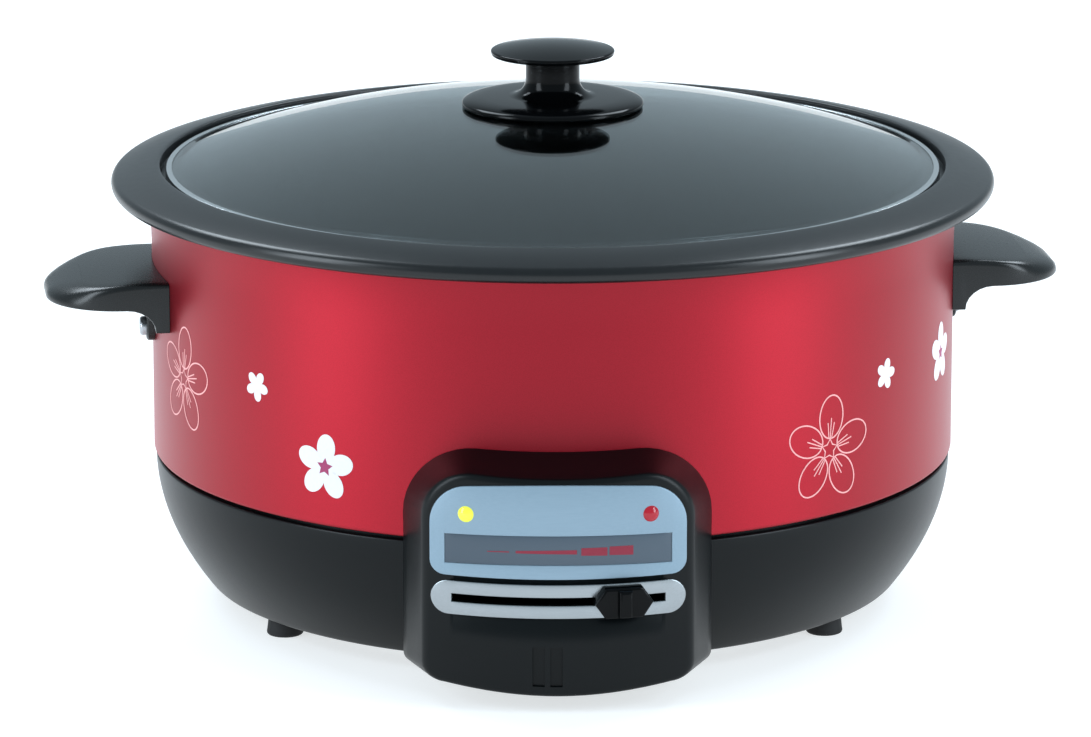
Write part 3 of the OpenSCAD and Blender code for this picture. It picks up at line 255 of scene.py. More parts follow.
def ring_mask(nodes, links, place, scale):
    """Rings about the upright axis, as a lathe leaves them."""
    flat = nodes.new("ShaderNodeVectorMath")
    flat.operation = "MULTIPLY"
    flat.inputs[1].default_value = (1, 1, 0)
    links.new(place, flat.inputs[0])
    radius = nodes.new("ShaderNodeVectorMath")
    radius.operation = "LENGTH"
    links.new(flat.outputs[0], radius.inputs[0])
    line = nodes.new("ShaderNodeCombineXYZ")
    links.new(radius.outputs["Value"], line.inputs["X"])
    return cloud_mask(nodes, links, line.outputs[0], scale)


def streak_mask(nodes, links, place, scale):
    """Streaks from side to side."""
    stretch = nodes.new("ShaderNodeVectorMath")
    stretch.operation = "MULTIPLY"
    stretch.inputs[1].default_value = STREAK_STRETCH
    links.new(place, stretch.inputs[0])
    return cloud_mask(nodes, links, stretch.outputs[0], scale)


def across_mask(nodes, links, place, scale):
    """A slope from left to right, halfway in the middle."""
    split = nodes.new("ShaderNodeSeparateXYZ")
    links.new(place, split.inputs[0])
    slope = nodes.new("ShaderNodeMath")
    slope.operation = "MULTIPLY_ADD"
    slope.use_clamp = True
    slope.inputs[2].default_value = 0.5
    links.new(split.outputs["X"], slope.inputs[0])
    links.new(scale, slope.inputs[1])
    return slope.outputs[0]


def finish_group(name, mask_of):
    """A node group that gives a colour, a roughness and a height from one mask."""
    group = bpy.data.node_groups.new(name, "ShaderNodeTree")
    for label, kind in GROUP_INPUTS.items():
        group.interface.new_socket(label, in_out="INPUT", socket_type=kind)
    for label, kind in GROUP_OUTPUTS.items():
        group.interface.new_socket(label, in_out="OUTPUT", socket_type=kind)
    nodes = group.nodes
    links = group.links
    given = nodes.new("NodeGroupInput")
    made = nodes.new("NodeGroupOutput")
    place = nodes.new("ShaderNodeTexCoord")
    mask = mask_of(nodes, links, place.outputs["Object"], given.outputs["Scale"])
    tint = nodes.new("ShaderNodeMixRGB")
    links.new(mask, tint.inputs["Fac"])
    links.new(given.outputs["Colour A"], tint.inputs["Color1"])
    links.new(given.outputs["Colour B"], tint.inputs["Color2"])
    rough = nodes.new("ShaderNodeMapRange")
    links.new(mask, rough.inputs["Value"])
    links.new(given.outputs["Roughness A"], rough.inputs["To Min"])
    links.new(given.outputs["Roughness B"], rough.inputs["To Max"])
    links.new(tint.outputs["Color"], made.inputs["Colour"])
    links.new(rough.outputs["Result"], made.inputs["Roughness"])
    links.new(mask, made.inputs["Height"])
    return group


clouds = finish_group("cloudy_finish", cloud_mask)
flecks = finish_group("flecked_finish", fleck_mask)
rings = finish_group("turned_finish", ring_mask)
streaks = finish_group("drawn_finish", streak_mask)
across = finish_group("graded_finish", across_mask)

BUMP_DEPTH = 0.0001


def finish(name, group, scale, colours, roughness, settings, bump=0.0):
    """A procedural material from one of the groups; settings go on the shader's own sockets."""
    material = bpy.data.materials.new(name)
    material.use_nodes = True
    nodes = material.node_tree.nodes
    links = material.node_tree.links
    shader = nodes["Principled BSDF"]
    surface = nodes.new("ShaderNodeGroup")
    surface.node_tree = group
    surface.inputs["Scale"].default_value = scale
    surface.inputs["Colour A"].default_value = colours[0]
    surface.inputs["Colour B"].default_value = colours[1]
    surface.inputs["Roughness A"].default_value = roughness[0]
    surface.inputs["Roughness B"].default_value = roughness[1]
    links.new(surface.outputs["Colour"], shader.inputs["Base Color"])
    links.new(surface.outputs["Roughness"], shader.inputs["Roughness"])
    if bump:
        relief = nodes.new("ShaderNodeBump")
        relief.inputs["Strength"].default_value = bump
        relief.inputs["Distance"].default_value = BUMP_DEPTH
        links.new(surface.outputs["Height"], relief.inputs["Height"])
        links.new(relief.outputs["Normal"], shader.inputs["Normal"])
    for label, value in settings.items():
        shader.inputs[label].default_value = value
    return material


METAL = {"Metallic": 1.0}
SATIN = {"Specular IOR Level": 0.4}
looks = {
    "red_lacquer": finish("red_lacquer_look", flecks, 2600, (paint(154, 10, 30), paint(170, 16, 38)),
        (0.46, 0.54), {"Metallic": 0.9, "Anisotropic": 0.55, "Anisotropic Rotation": 0.25,
            "Coat Weight": 0.36, "Coat Roughness": 0.3}),
    "black_gloss_plastic": finish("black_gloss_look", clouds, 900, (paint(2, 6, 8), paint(4, 9, 11)),
        (0.3, 0.36), {"Specular IOR Level": 0.2}, 0.05),
    "black_handle_plastic": finish("black_handle_look", clouds, 1200, (paint(9, 12, 13), paint(13, 16, 17)),
        (0.24, 0.3), SATIN),
    "black_knob_plastic": finish("black_knob_look", clouds, 700, (paint(3, 4, 5), paint(5, 6, 7)),
        (0.12, 0.16), {"Specular IOR Level": 0.12}),
    "nonstick_aluminium": finish("nonstick_look", clouds, 300, (paint(12, 15, 17), paint(17, 20, 22)),
        (0.26, 0.32), SATIN),
    "lid_glass": finish("lid_glass_look", clouds, 60, (paint(226, 238, 240), paint(220, 234, 237)),
        (0.02, 0.03), {"Transmission Weight": 1.0, "IOR": 1.5}),
    "band_steel": finish("band_steel_look", rings, 3000, (paint(196, 200, 202), paint(222, 226, 228)),
        (0.18, 0.26), METAL),
    "silver_blue_plate": finish("silver_blue_look", streaks, 2400,
        (paint(130, 153, 169), paint(140, 163, 179)), (0.34, 0.42), {"Metallic": 0.35}),
    "grey_window": finish("grey_window_look", across, 9, (paint(54, 70, 84), paint(64, 80, 94)),
        (0.2, 0.24), {"Coat Weight": 0.3}),
    "chrome_plate": finish("chrome_plate_look", streaks, 1800, (paint(150, 156, 160), paint(164, 170, 174)),
        (0.2, 0.28), METAL),
    "yellow_lens": finish("yellow_lens_look", clouds, 700, (paint(214, 220, 52), paint(226, 232, 84)),
        (0.1, 0.16), {"Emission Color": paint(232, 238, 60), "Emission Strength": 0.3}),
    "red_lens": finish("red_lens_look", clouds, 700, (paint(150, 12, 30), paint(168, 20, 40)),
        (0.1, 0.16), {"Emission Color": paint(200, 20, 40), "Emission Strength": 0.12}),
    "lamp_glass": finish("lamp_glass_look", clouds, 500, (paint(240, 226, 210), paint(230, 214, 196)),
        (0.06, 0.1), {"Transmission Weight": 0.6}),
    "cast_aluminium": finish("cast_aluminium_look", rings, 1400, (paint(166, 168, 170), paint(190, 192, 194)),
        (0.32, 0.46), METAL, 0.1),
    "shield_aluminium": finish("shield_look", streaks, 900, (paint(196, 198, 200), paint(212, 214, 216)),
        (0.24, 0.34), METAL),
    "sensor_aluminium": finish("sensor_look", rings, 4000, (paint(182, 184, 188), paint(206, 208, 211)),
        (0.24, 0.36), METAL, 0.1),
    "element_sheath": finish("element_look", clouds, 300, (paint(92, 92, 94), paint(124, 118, 112)),
        (0.45, 0.6), {"Metallic": 0.9}),
    "zinc_sheet": finish("zinc_sheet_look", clouds, 220, (paint(172, 175, 178), paint(192, 195, 199)),
        (0.3, 0.42), METAL),
    "screw_steel": finish("screw_steel_look", clouds, 800, (paint(168, 170, 174), paint(192, 194, 198)),
        (0.24, 0.34), METAL),
    "ceramic": finish("ceramic_look", flecks, 700, (paint(222, 216, 202), paint(234, 229, 218)),
        (0.5, 0.62), SATIN, 0.1),
    "pin_brass": finish("pin_brass_look", streaks, 1500, (paint(206, 176, 108), paint(222, 196, 130)),
        (0.22, 0.32), METAL),
    "wire_insulation": finish("wire_look", clouds, 600, (paint(150, 34, 30), paint(166, 44, 38)),
        (0.48, 0.58), SATIN),
    "black_rubber": finish("black_rubber_look", flecks, 1600, (paint(24, 24, 25), paint(34, 34, 35)),
        (0.62, 0.74), {"Specular IOR Level": 0.35}, 0.12),
}
white_print = finish("white_print_look", clouds, 900, (paint(222, 220, 224), paint(232, 230, 234)),
    (0.4, 0.48), SATIN)
pink_print = finish("pink_print_look", clouds, 900, (paint(146, 42, 88), paint(164, 56, 102)),
    (0.4, 0.48), SATIN)
line_print = finish("line_print_look", clouds, 900, (paint(232, 158, 158), paint(240, 172, 170)),
    (0.4, 0.48), SATIN)
scale_print = finish("scale_print_look", clouds, 900, (paint(126, 26, 48), paint(144, 36, 58)),
    (0.34, 0.4), SATIN)

# Every solid of the part gets the look of its own material slot
for part in frame["record"]["subparts"]:
    shown = frame["nodes"][part["node"]]
    shown.data.materials.clear()
    shown.data.materials.append(looks[part["material_slot"]])


# Shapes
def spread(low, high, steps):
    """Evenly spaced values between two ends, both included."""
    return [low + (high - low) * i / steps for i in range(steps + 1)]


def both_sides(right):
    """Places from left to right, from those on the right side, of which the first is the middle."""
    right = sorted(right)
    return [-x for x in reversed(right[1:])] + right


def arc(middle_x, middle_y, radius, start, end, steps):
    """Points of an arc between two angles in degrees."""
    points = []
    for angle in spread(start, end, steps):
        a = math.radians(angle)
        points.append((middle_x + radius * math.cos(a), middle_y + radius * math.sin(a)))
    return points


def curve(start, corner, end, steps):
    """Vectors along a curve that leaves its start for a corner and comes to its end from there."""
    points = []
    for t in spread(0, 1, steps):
        points.append(start * (1 - t) ** 2 + corner * (2 * t * (1 - t)) + end * t * t)
    return points


def bend(start, corner, end, steps):
    """The same curve as plain points of a profile."""
    return [tuple(point) for point in curve(Vector(start), Vector(corner), Vector(end), steps)]


def rounded(corners, steps=5):
    """A closed path through corners (x, y, radius), each rounded by its own radius."""
    path = []
    for i, (x, y, radius) in enumerate(corners):
        here = Vector((x, y))
        if radius == 0:
            path.append((x, y))
            continue
        before = (Vector(corners[i - 1][:2]) - here).normalized()
        after = (Vector(corners[(i + 1) % len(corners)][:2]) - here).normalized()
        half = before.angle(after) / 2
        middle = here + (before + after).normalized() * (radius / math.sin(half))
        first = here + before * (radius / math.tan(half)) - middle
        last = here + after * (radius / math.tan(half)) - middle
        sweep = math.atan2(first.x * last.y - first.y * last.x, first.dot(last))
        for k in range(steps + 1):
            a = sweep * k / steps
            x_turned = first.x * math.cos(a) - first.y * math.sin(a)
            y_turned = first.x * math.sin(a) + first.y * math.cos(a)
            path.append((middle.x + x_turned, middle.y + y_turned))
    return path


def lathe(profile, closed=True, steps=TURN_STEPS):
    """A turned shape from a profile of (radius, height)."""
    bm = bmesh.new()
    hoops = []
    for radius, z in profile:
        if radius < 1e-6:
            hoops.append([bm.verts.new((0, 0, z))])
            continue
        hoop = []
        for i in range(steps):
            a = 2 * math.pi * i / steps
            hoop.append(bm.verts.new((radius * math.cos(a), radius * math.sin(a), z)))
        hoops.append(hoop)
    following = hoops[1:] + hoops[:1] if closed else hoops[1:]
    for one, two in zip(hoops, following):
        for i in range(steps):
            j = (i + 1) % steps
            corners = (one[i % len(one)], one[j % len(one)], two[j % len(two)], two[i % len(two)])
            corners = list(dict.fromkeys(corners))
            if len(corners) > 2:
                bm.faces.new(corners)
    return bm


def loft(bm, loops):
    """Quads between loops of points, closed by a face at each end."""
    hoops = [[bm.verts.new(point) for point in loop] for loop in loops]
    for one, two in zip(hoops, hoops[1:]):
        for i in range(len(one)):
            j = (i + 1) % len(one)
            bm.faces.new((one[i], one[j], two[j], two[i]))
    bm.faces.new(hoops[0])
    bm.faces.new(hoops[-1])


def thick_sheet(cells, place, depth, edge=0.0, steps=3):
    """A solid sheet from flat cells; place(x, z, depth) puts it on its surface, edge rounds its front."""
    bm = bmesh.new()
    cells = [list(dict.fromkeys((round(x, 4), round(z, 4)) for x, z in cell)) for cell in cells]
    cells = [cell for cell in cells if len(cell) > 2]
    border = {}
    for cell in cells:
        for one, two in zip(cell, cell[1:] + cell[:1]):
            if (two, one) in border:
                del border[two, one]
            else:
                border[one, two] = True
    ways = {}
    for one, two in border:
        way = Vector((two[1] - one[1], one[0] - two[0])).normalized()
        ways.setdefault(one, []).append(way)
        ways.setdefault(two, []).append(way)
    out = {}
    sharpest = 0.4
    for point, two_ways in ways.items():
        both = two_ways[0] + two_ways[-1]
        out[point] = both / max(1 + two_ways[0].dot(two_ways[-1]), sharpest)
    layers = [(0.0, 0.0)]
    if edge:
        layers += [(edge * math.sin(a), edge * (1 - math.cos(a)))
            for a in (math.pi / 2 * k / steps for k in range(1, steps + 1))]
        layers.append((edge, depth))
    layers.append((0.0, depth))
    made = {}

    def vert(point, layer):
        if (point, layer) not in made:
            offset, down = layers[layer]
            way = out.get(point, Vector((0, 0)))
            spot = place(point[0] + way.x * offset, point[1] + way.y * offset, down)
            made[point, layer] = bm.verts.new(spot)
        return made[point, layer]

    last = len(layers) - 1
    for cell in cells:
        bm.faces.new([vert(point, 0) for point in cell])
        bm.faces.new([vert(point, last) for point in reversed(cell)])
    for one, two in border:
        for layer in range(last):
            bm.faces.new((vert(two, layer), vert(one, layer), vert(one, layer + 1), vert(two, layer + 1)))
    return bm


def column_cells(columns, left_out=None):
    """Flat cells between columns of (x, heights)."""
    cells = []
    for i in range(len(columns) - 1):
        x_one, low = columns[i]
        x_two, high = columns[i + 1]
        for j in range(len(low) - 1):
            if left_out and left_out((x_one + x_two) / 2, j):
                continue
            cells.append([(x_one, low[j]), (x_two, high[j]), (x_two, high[j + 1]), (x_one, low[j + 1])])
    return cells


def join(whole, part):
    """Adds a mesh to another one."""
    mesh = bpy.data.meshes.new("part")
    part.to_mesh(mesh)
    part.free()
    whole.from_mesh(mesh)
    bpy.data.meshes.remove(mesh)


def mesh_object(name, bm):
    """An object of the scene from a mesh in millimetres."""
    mesh = bpy.data.meshes.new(name)
    bm.to_mesh(mesh)
    bm.free()
    mesh.transform(Matrix.Scale(MM, 4))
    made = bpy.data.objects.new(name, mesh)
    scene.collection.objects.link(made)
    return made


def piece(name, bm, body, look, nodes=(), wall=0.0):
    """Makes a mesh a shown piece that rides on a body and stands for CAD nodes."""
    for edge in bm.edges:
        if len(edge.link_faces) == 2:
            edge.smooth = edge.calc_face_angle() < math.radians(SHARP_ANGLE)
    for face in bm.faces:
        face.smooth = True
    made = mesh_object(name, bm)
    if wall:
        thicken = made.modifiers.new("wall", "SOLIDIFY")
        thicken.thickness = wall * MM
        thicken.offset = -1
        thicken.use_even_offset = True
    made.data.materials.append(look)
    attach(made, body)
    if nodes:
        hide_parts(*nodes)
    return made


def solid(name, bm, body, slot, nodes=()):
    """A closed piece whose look is that of its material slot."""
    bmesh.ops.recalc_face_normals(bm, faces=bm.faces)
    return piece(name, bm, body, looks[slot], nodes)


def bowl_r(z):
    """Radius of the bowl-shaped base."""
    return BASE_TOP_R - (BASE_TOP_R - BASE_LOW_R) * (1 - (z - BASE_LOW) / (BASE_TOP - BASE_LOW)) ** 2


def body_r(z):
    """Radius of the body that the panel stands against."""
    if z >= BASE_TOP:
        return SHELL_R
    return bowl_r(max(z, BASE_LOW))


# Red shell: rolled at the bottom, opened out and hemmed at the top
def flare_r(z):
    """Radius of the shell, which opens out towards its top."""
    rise = max(0.0, z - SHELL_TOP + FLARE_H) / FLARE_H
    return SHELL_R + SHELL_FLARE * rise ** 2


hem_round = 0.7
straight_h = 30.0
outside = [(SHELL_R, SHELL_TOP - FLARE_H - straight_h)]
outside += [(flare_r(z), z) for z in spread(SHELL_TOP - FLARE_H, SHELL_TOP - hem_round, 16)]
inside = [(r - SHELL_WALL, z) for r, z in reversed(outside[:-1])]
hem_top_r = flare_r(SHELL_TOP) - hem_round
shell_profile = [(LEDGE_R, SHELL_LOW)]
shell_profile += arc(SHELL_R - SHELL_ROLL, SHELL_LOW + SHELL_ROLL, SHELL_ROLL, -90, 0, 6)
shell_profile += outside
shell_profile += arc(hem_top_r, SHELL_TOP - hem_round, hem_round, 20, 90, 4)
shell_profile += [(HEM_R, SHELL_TOP), (HEM_R, SHELL_TOP - SHELL_WALL)]
shell_profile += [(flare_r(SHELL_TOP) - SHELL_WALL - hem_round, SHELL_TOP - SHELL_WALL)]
shell_profile += inside
shell_profile += [(SHELL_R - SHELL_WALL, SHELL_LOW + SHELL_WALL), (LEDGE_R, SHELL_LOW + SHELL_WALL)]
solid("red_body", lathe(shell_profile), "housing", "red_lacquer", ["outer_shell"])

# Bowl-shaped base with the groove under the shell
base_round = 0.8
base_low_round = 1.0
base_turn_out = 0.1
base_turn_up = 0.3
bowl_steps = 24
base_profile = [(BASE_IN_R, BASE_LOW), (BASE_LOW_R - base_low_round, BASE_LOW)]
base_profile.append((BASE_LOW_R + base_turn_out, BASE_LOW + base_turn_up))
bowl_zs = spread(BASE_LOW + base_low_round, BASE_TOP - base_round, bowl_steps)
base_profile += [(bowl_r(z), z) for z in bowl_zs]
base_profile += arc(BASE_TOP_R - base_round, BASE_TOP - base_round, base_round, 20, 90, 4)
base_profile += [(SEAM_R, BASE_TOP), (SEAM_R, SHELL_LOW), (LEDGE_R, SHELL_LOW), (LEDGE_R, BASE_TOP - LEDGE_H)]
inner_zs = spread(BASE_TOP - 2 * LEDGE_H, BASE_LOW + BASE_WALL, bowl_steps)
base_profile += [(bowl_r(z) - BASE_WALL, z) for z in inner_zs]
base_profile.append((BASE_IN_R, BASE_LOW + BASE_WALL))
bowl_base = solid("bowl_base", lathe(base_profile), "housing", "black_gloss_plastic", ["base_shell"])


def cut_box(target, size, middle):
    """Cuts a block out of a piece."""
    bm = bmesh.new()
    bmesh.ops.create_cube(bm, size=1)
    bmesh.ops.scale(bm, vec=size, verts=bm.verts)
    bmesh.ops.translate(bm, vec=middle, verts=bm.verts)
    cutter = mesh_object("cutter", bm)
    cut = target.modifiers.new("cut", "BOOLEAN")
    cut.object = cutter
    cut.operation = "DIFFERENCE"
    cut.solver = "EXACT"
    graph = bpy.context.evaluated_depsgraph_get()
    result = bpy.data.meshes.new_from_object(target.evaluated_get(graph))
    target.modifiers.clear()
    target.data = result
    bpy.data.objects.remove(cutter)


lever_window = (80.0, 60.0, 12.0)
lever_window_in = 10.0
cut_box(bowl_base, lever_window, (0, -BASE_TOP_R + lever_window_in, SLOT_Z))
inlet_gap = 0.6
inlet_window = (INLET_W + inlet_gap, 40.0, INLET_H + inlet_gap)
inlet_window_in = 8.0
cut_box(bowl_base, inlet_window, (0, BASE_TOP_R - inlet_window_in, INLET_Z))

# Pot with its wide rim
lip_round = 0.7
seat_fillet = 0.5
seat_bevel = 0.6
roll_gap = 0.4
pot_profile = arc(RIM_R - RIM_ROLL, RIM_ROLL_Z, RIM_ROLL, -170, 70, 30)
lip_edge = (LIP_R + LIP_FLAT, LIP_Z)
pot_profile += bend(pot_profile[-1], RIM_TOP_BEND, lip_edge, 14)[1:]
pot_profile += [(LIP_R + lip_round, LIP_Z)]
pot_profile += arc(LIP_R + lip_round, LIP_Z - lip_round, lip_round, 120, 180, 3)
pot_profile += [(LIP_R, SEAT_Z + seat_fillet), (LIP_R - seat_fillet, SEAT_Z)]
pot_profile += [(POT_IN_R + seat_bevel, SEAT_Z), (POT_IN_R, SEAT_Z - seat_bevel)]
in_corner = POT_CORNER - RIM_WALL
pot_profile += arc(POT_IN_R - in_corner, POT_LOW + RIM_WALL + in_corner, in_corner, 0, -90, 20)
pot_profile += [(0, POT_LOW + RIM_WALL), (0, POT_LOW)]
pot_profile += arc(POT_R - POT_CORNER, POT_LOW + POT_CORNER, POT_CORNER, -90, 0, 20)
pot_profile += [(POT_R, RIM_UNDER), (RIM_R - 2 * RIM_ROLL - roll_gap, RIM_UNDER)]
solid("cooking_pot", lathe(pot_profile), "pot", "nonstick_aluminium", ["inner_pot"])

# Lid: glass dome in a steel band
glass_edge_top = GLASS_LOW + GLASS_T
dome_rise = GLASS_APEX - glass_edge_top
dome_radius = (DOME_R ** 2 + dome_rise ** 2) / (2 * dome_rise)
dome_middle = GLASS_APEX - dome_radius


def dome_arc(radius, r_start, r_end):
    """Points of the dome's outer or inner side between two distances from its middle line."""
    return [(r, dome_middle + math.sqrt(radius ** 2 - r ** 2)) for r in spread(r_start, r_end, 40)]


glass_bevel = 0.4
in_dome = dome_radius - GLASS_T
in_edge_r = math.sqrt(in_dome ** 2 - (GLASS_LOW - dome_middle) ** 2)
glass_profile = [(GLASS_R - glass_bevel, GLASS_LOW), (GLASS_R, GLASS_LOW + glass_bevel)]
glass_profile += [(GLASS_R, glass_edge_top - glass_bevel), (GLASS_R - glass_bevel, glass_edge_top)]
glass_profile += dome_arc(dome_radius, DOME_R, GLASS_HOLE_R)
glass_profile += dome_arc(in_dome, GLASS_HOLE_R, in_edge_r)
solid("glass_dome", lathe(glass_profile), "lid", "lid_glass", ["lid_glass"])

band_low_round = 0.8
band_top_round = 0.9
band_in_low_round = 0.4
band_in_top_round = 0.45
sheet_round = 0.1
sheet_top_round = 0.2
band_in_low = BAND_LOW + BAND_SHEET
band_in_top = BAND_TOP - BAND_SHEET
band_profile = rounded([
    (BAND_IN_R, BAND_LOW, sheet_round),
    (BAND_R, BAND_LOW, band_low_round),
    (BAND_R, BAND_TOP, band_top_round),
    (BAND_IN_R, BAND_TOP, sheet_top_round),
    (BAND_IN_R, band_in_top, sheet_round),
    (BAND_R - BAND_SHEET, band_in_top, band_in_top_round),
    (BAND_R - BAND_SHEET, band_in_low, band_in_low_round),
    (BAND_IN_R, band_in_low, sheet_round)])
solid("steel_band", lathe(band_profile), "lid", "band_steel", ["lid_band"])

# Lid knob: heat guard, waisted neck and cap
guard_hole = 2.1
guard_lip = 2.0
guard_round = 0.8
guard_lean = 0.5
guard_profile = [(guard_hole, KNOB_Z), (GUARD_R - 2 * guard_lip, KNOB_Z), (GUARD_R - guard_lip, GUARD_LOW)]
guard_profile += bend((GUARD_R - guard_round, GUARD_LOW), (GUARD_R, GUARD_LOW), (GUARD_R, GUARD_EDGE), 6)
guard_corner = (GUARD_R, GUARD_SHOULDER[1] - guard_lean)
guard_profile += bend((GUARD_R, GUARD_EDGE), guard_corner, GUARD_SHOULDER, 12)[1:]
guard_profile += [(NECK_FOOT_R, NECK_Z), (guard_hole, NECK_Z)]
solid("heat_guard", lathe(guard_profile), "lid", "black_knob_plastic", ["knob_heat_guard"])
neck_foot = NECK_FOOT_R - NECK_R
neck_top = 2.0
neck_sunk = 0.2
neck_profile = [(0, NECK_Z - neck_sunk), (NECK_FOOT_R, NECK_Z - neck_sunk)]
neck_profile += arc(NECK_FOOT_R, NECK_Z + neck_foot, neck_foot, 270, 180, 12)
neck_profile += arc(NECK_R + neck_top, CAP_Z - neck_top, neck_top, 180, 90, 6)
neck_profile.append((0, CAP_Z))
solid("knob_stem", lathe(neck_profile, closed=False), "lid", "black_knob_plastic", ["knob_neck"])
cap_under = (CAP_R - 0.9, CAP_Z)
cap_under_corner = (CAP_R - 0.3, CAP_Z)
cap_side_low = (CAP_R - 0.1, CAP_Z + 0.7)
cap_side_high = (CAP_R, CAP_EDGE_TOP - 0.8)
cap_corner = (CAP_R, CAP_EDGE_TOP - 0.15)
cap_turn = (CAP_R - 1.2, CAP_EDGE_TOP - 0.04)
cap_dome_low = CAP_EDGE_TOP - 0.3
cap_profile = [(0, CAP_Z)]
cap_profile += bend(cap_under, cap_under_corner, cap_side_low, 5)
cap_profile += bend(cap_side_high, cap_corner, cap_turn, 6)[:-1]
cap_profile += [(r, cap_dome_low + CAP_DOME * (1 - (r / CAP_R) ** 2)) for r in spread(cap_turn[0], 0, 24)]
solid("knob_top", lathe(cap_profile, closed=False), "lid", "black_knob_plastic", ["knob_cap"])


# Control housing: a curved face with rounded edges, and walls that run back to the body
EDGE_STEPS = 6
WALL_STEPS = 4
BACK_STEPS = 2
UPPER_CORNER_STEPS = 10
LOWER_CORNER_STEPS = 6
PLAIN_FACE_XS = (14.0, 18.0, 22.0, 26.0)
NOTCH_ROW = 1
SLOT_ROW = 3
LONGEST_RULING = 3
KNEE_ROOM = 0.02


def upper_point(u, half, corner, top):
    """A point of the upper right outline: u is 0 at the side, 1 at the corner's end, 2 in the middle."""
    if u > 1:
        return Vector(((half - corner) * (2 - u), top))
    a = math.radians(90 * u)
    return Vector((half - corner + corner * math.cos(a), top - corner + corner * math.sin(a)))


def lower_point(u, half, corner, rise):
    """A point of the lower right outline, counted in the same way; it rises from the middle to the corner."""
    start = half - corner
    if u > 1:
        x = start * (2 - u)
        return Vector((x, PANEL_LOW + rise * (x / BACK_HALF) ** 2))
    a = math.radians(90 * u)
    low = PANEL_LOW + rise * (start / BACK_HALF) ** 2
    return Vector((start + corner * math.cos(a), low + corner - corner * math.sin(a)))


def upper(u):
    """The two ends, front and back, of a ruling of the upper wall."""
    front = upper_point(u, FRONT_HALF, FRONT_CORNER, FRONT_TOP)
    return front, upper_point(u, BACK_HALF, BACK_CORNER, BACK_TOP)


def lower(u):
    """The two ends, front and back, of a ruling of the lower wall."""
    front = lower_point(u, FRONT_HALF, FRONT_LOW_CORNER, FRONT_CROWN)
    return front, lower_point(u, BACK_HALF, BACK_LOW_CORNER, BACK_CROWN)


def ruling(ends, t):
    """A point between the front and back outlines; past the back outline it runs straight back."""
    x, z = ends[0].lerp(ends[1], min(t, 1.0))
    return Vector((x, FRONT_Y + (SIDE_Y - FRONT_Y) * t, z))


def solve(rising, low, high):
    """Where a rising value passes nothing."""
    for _ in range(50):
        middle = (low + high) / 2
        if rising(middle) > 0:
            high = middle
        else:
            low = middle
    return (low + high) / 2


def face_end(ends):
    """Where a ruling meets the curved face."""
    def inside_face(t):
        point = ruling(ends, t)
        return FACE_R - math.hypot(point.x, point.y - PIVOT_Y)
    return solve(inside_face, 0, 1)


def body_end(ends, start):
    """Where a ruling meets the body of the cooker."""
    def inside_body(t):
        point = ruling(ends, t)
        return body_r(point.z) + SEAT_GAP - math.hypot(point.x, point.y)
    return solve(inside_body, start, LONGEST_RULING)


def edge_point(ends):
    """Where the edge of the face would be if it were sharp, as (x, z)."""
    point = ruling(ends, face_end(ends))
    return Vector((point.x, point.z))


def way_in(outline, u):
    """The way from the edge of the face into the face."""
    step = 0.01
    if u < step:
        return Vector((-1, 0))
    along = edge_point(outline(min(u + step, 2))) - edge_point(outline(u - step))
    way = Vector((along.y, -along.x)).normalized()
    face_middle = Vector((0, SLOT_Z))
    if way.dot(face_middle - edge_point(outline(u))) < 0:
        way = -way
    return way


def inset_point(outline, u):
    """Where the face ends and its rounded edge starts, as (x, z)."""
    return edge_point(outline(u)) + way_in(outline, u) * FACE_ROUND


def on_face(x, z, depth=0.0):
    """A point of the curved face, or below it by a depth."""
    return Vector((x, PIVOT_Y - math.sqrt((FACE_R - depth) ** 2 - x * x), z))


def wall_points(ends, way):
    """Points of one line of the housing's wall, from the face round its edge and back to the body."""
    start = face_end(ends)
    edge = ruling(ends, start)
    inner = on_face(edge.x + way.x * FACE_ROUND, edge.z + way.y * FACE_ROUND)
    length = (ruling(ends, 1) - ruling(ends, 0)).length
    begin = start + FACE_ROUND / length
    after = ruling(ends, begin)
    end = body_end(ends, begin)
    knee = min(1.0, end - KNEE_ROOM)
    points = curve(inner, edge, after, EDGE_STEPS)[1:]
    points += [ruling(ends, t) for t in spread(begin, knee, WALL_STEPS)[1:]]
    points += [ruling(ends, t) for t in spread(knee, end, BACK_STEPS)[1:]]
    return points


def face_columns():
    """Columns (x, heights) of the face, and where each one ends on the upper and the lower outline."""
    xs = {0.0, SLOT_W / 2, inset_point(upper, 0).x, *PLAIN_FACE_XS}
    for side in (-1, 1):
        xs.add(abs(NOTCH_X + side * NOTCH_RIB / 2))
        xs.add(abs(NOTCH_X + side * NOTCH_W / 2))
    xs.update(inset_point(upper, u).x for u in spread(0, 1, UPPER_CORNER_STEPS)[1:])
    xs.update(inset_point(lower, u).x for u in spread(0, 1, LOWER_CORNER_STEPS)[1:])
    slot_low = SLOT_Z - SLOT_H / 2
    middle_low = inset_point(lower, 2).y
    notch_rows = [(z - middle_low) / (slot_low - middle_low) for z in (NOTCH_LOW, NOTCH_TOP)]
    columns = []
    places = []
    for x in both_sides(xs):
        u_top = solve(lambda u: abs(x) - inset_point(upper, u).x, 0, 2)
        u_low = solve(lambda u: abs(x) - inset_point(lower, u).x, 0, 2)
        top = inset_point(upper, u_top).y
        low = inset_point(lower, u_low).y
        heights = [low] + [low + (slot_low - low) * share for share in notch_rows]
        heights += [slot_low, slot_low + SLOT_H, top]
        columns.append((x, heights))
        places.append((u_top, u_low))
    return columns, places


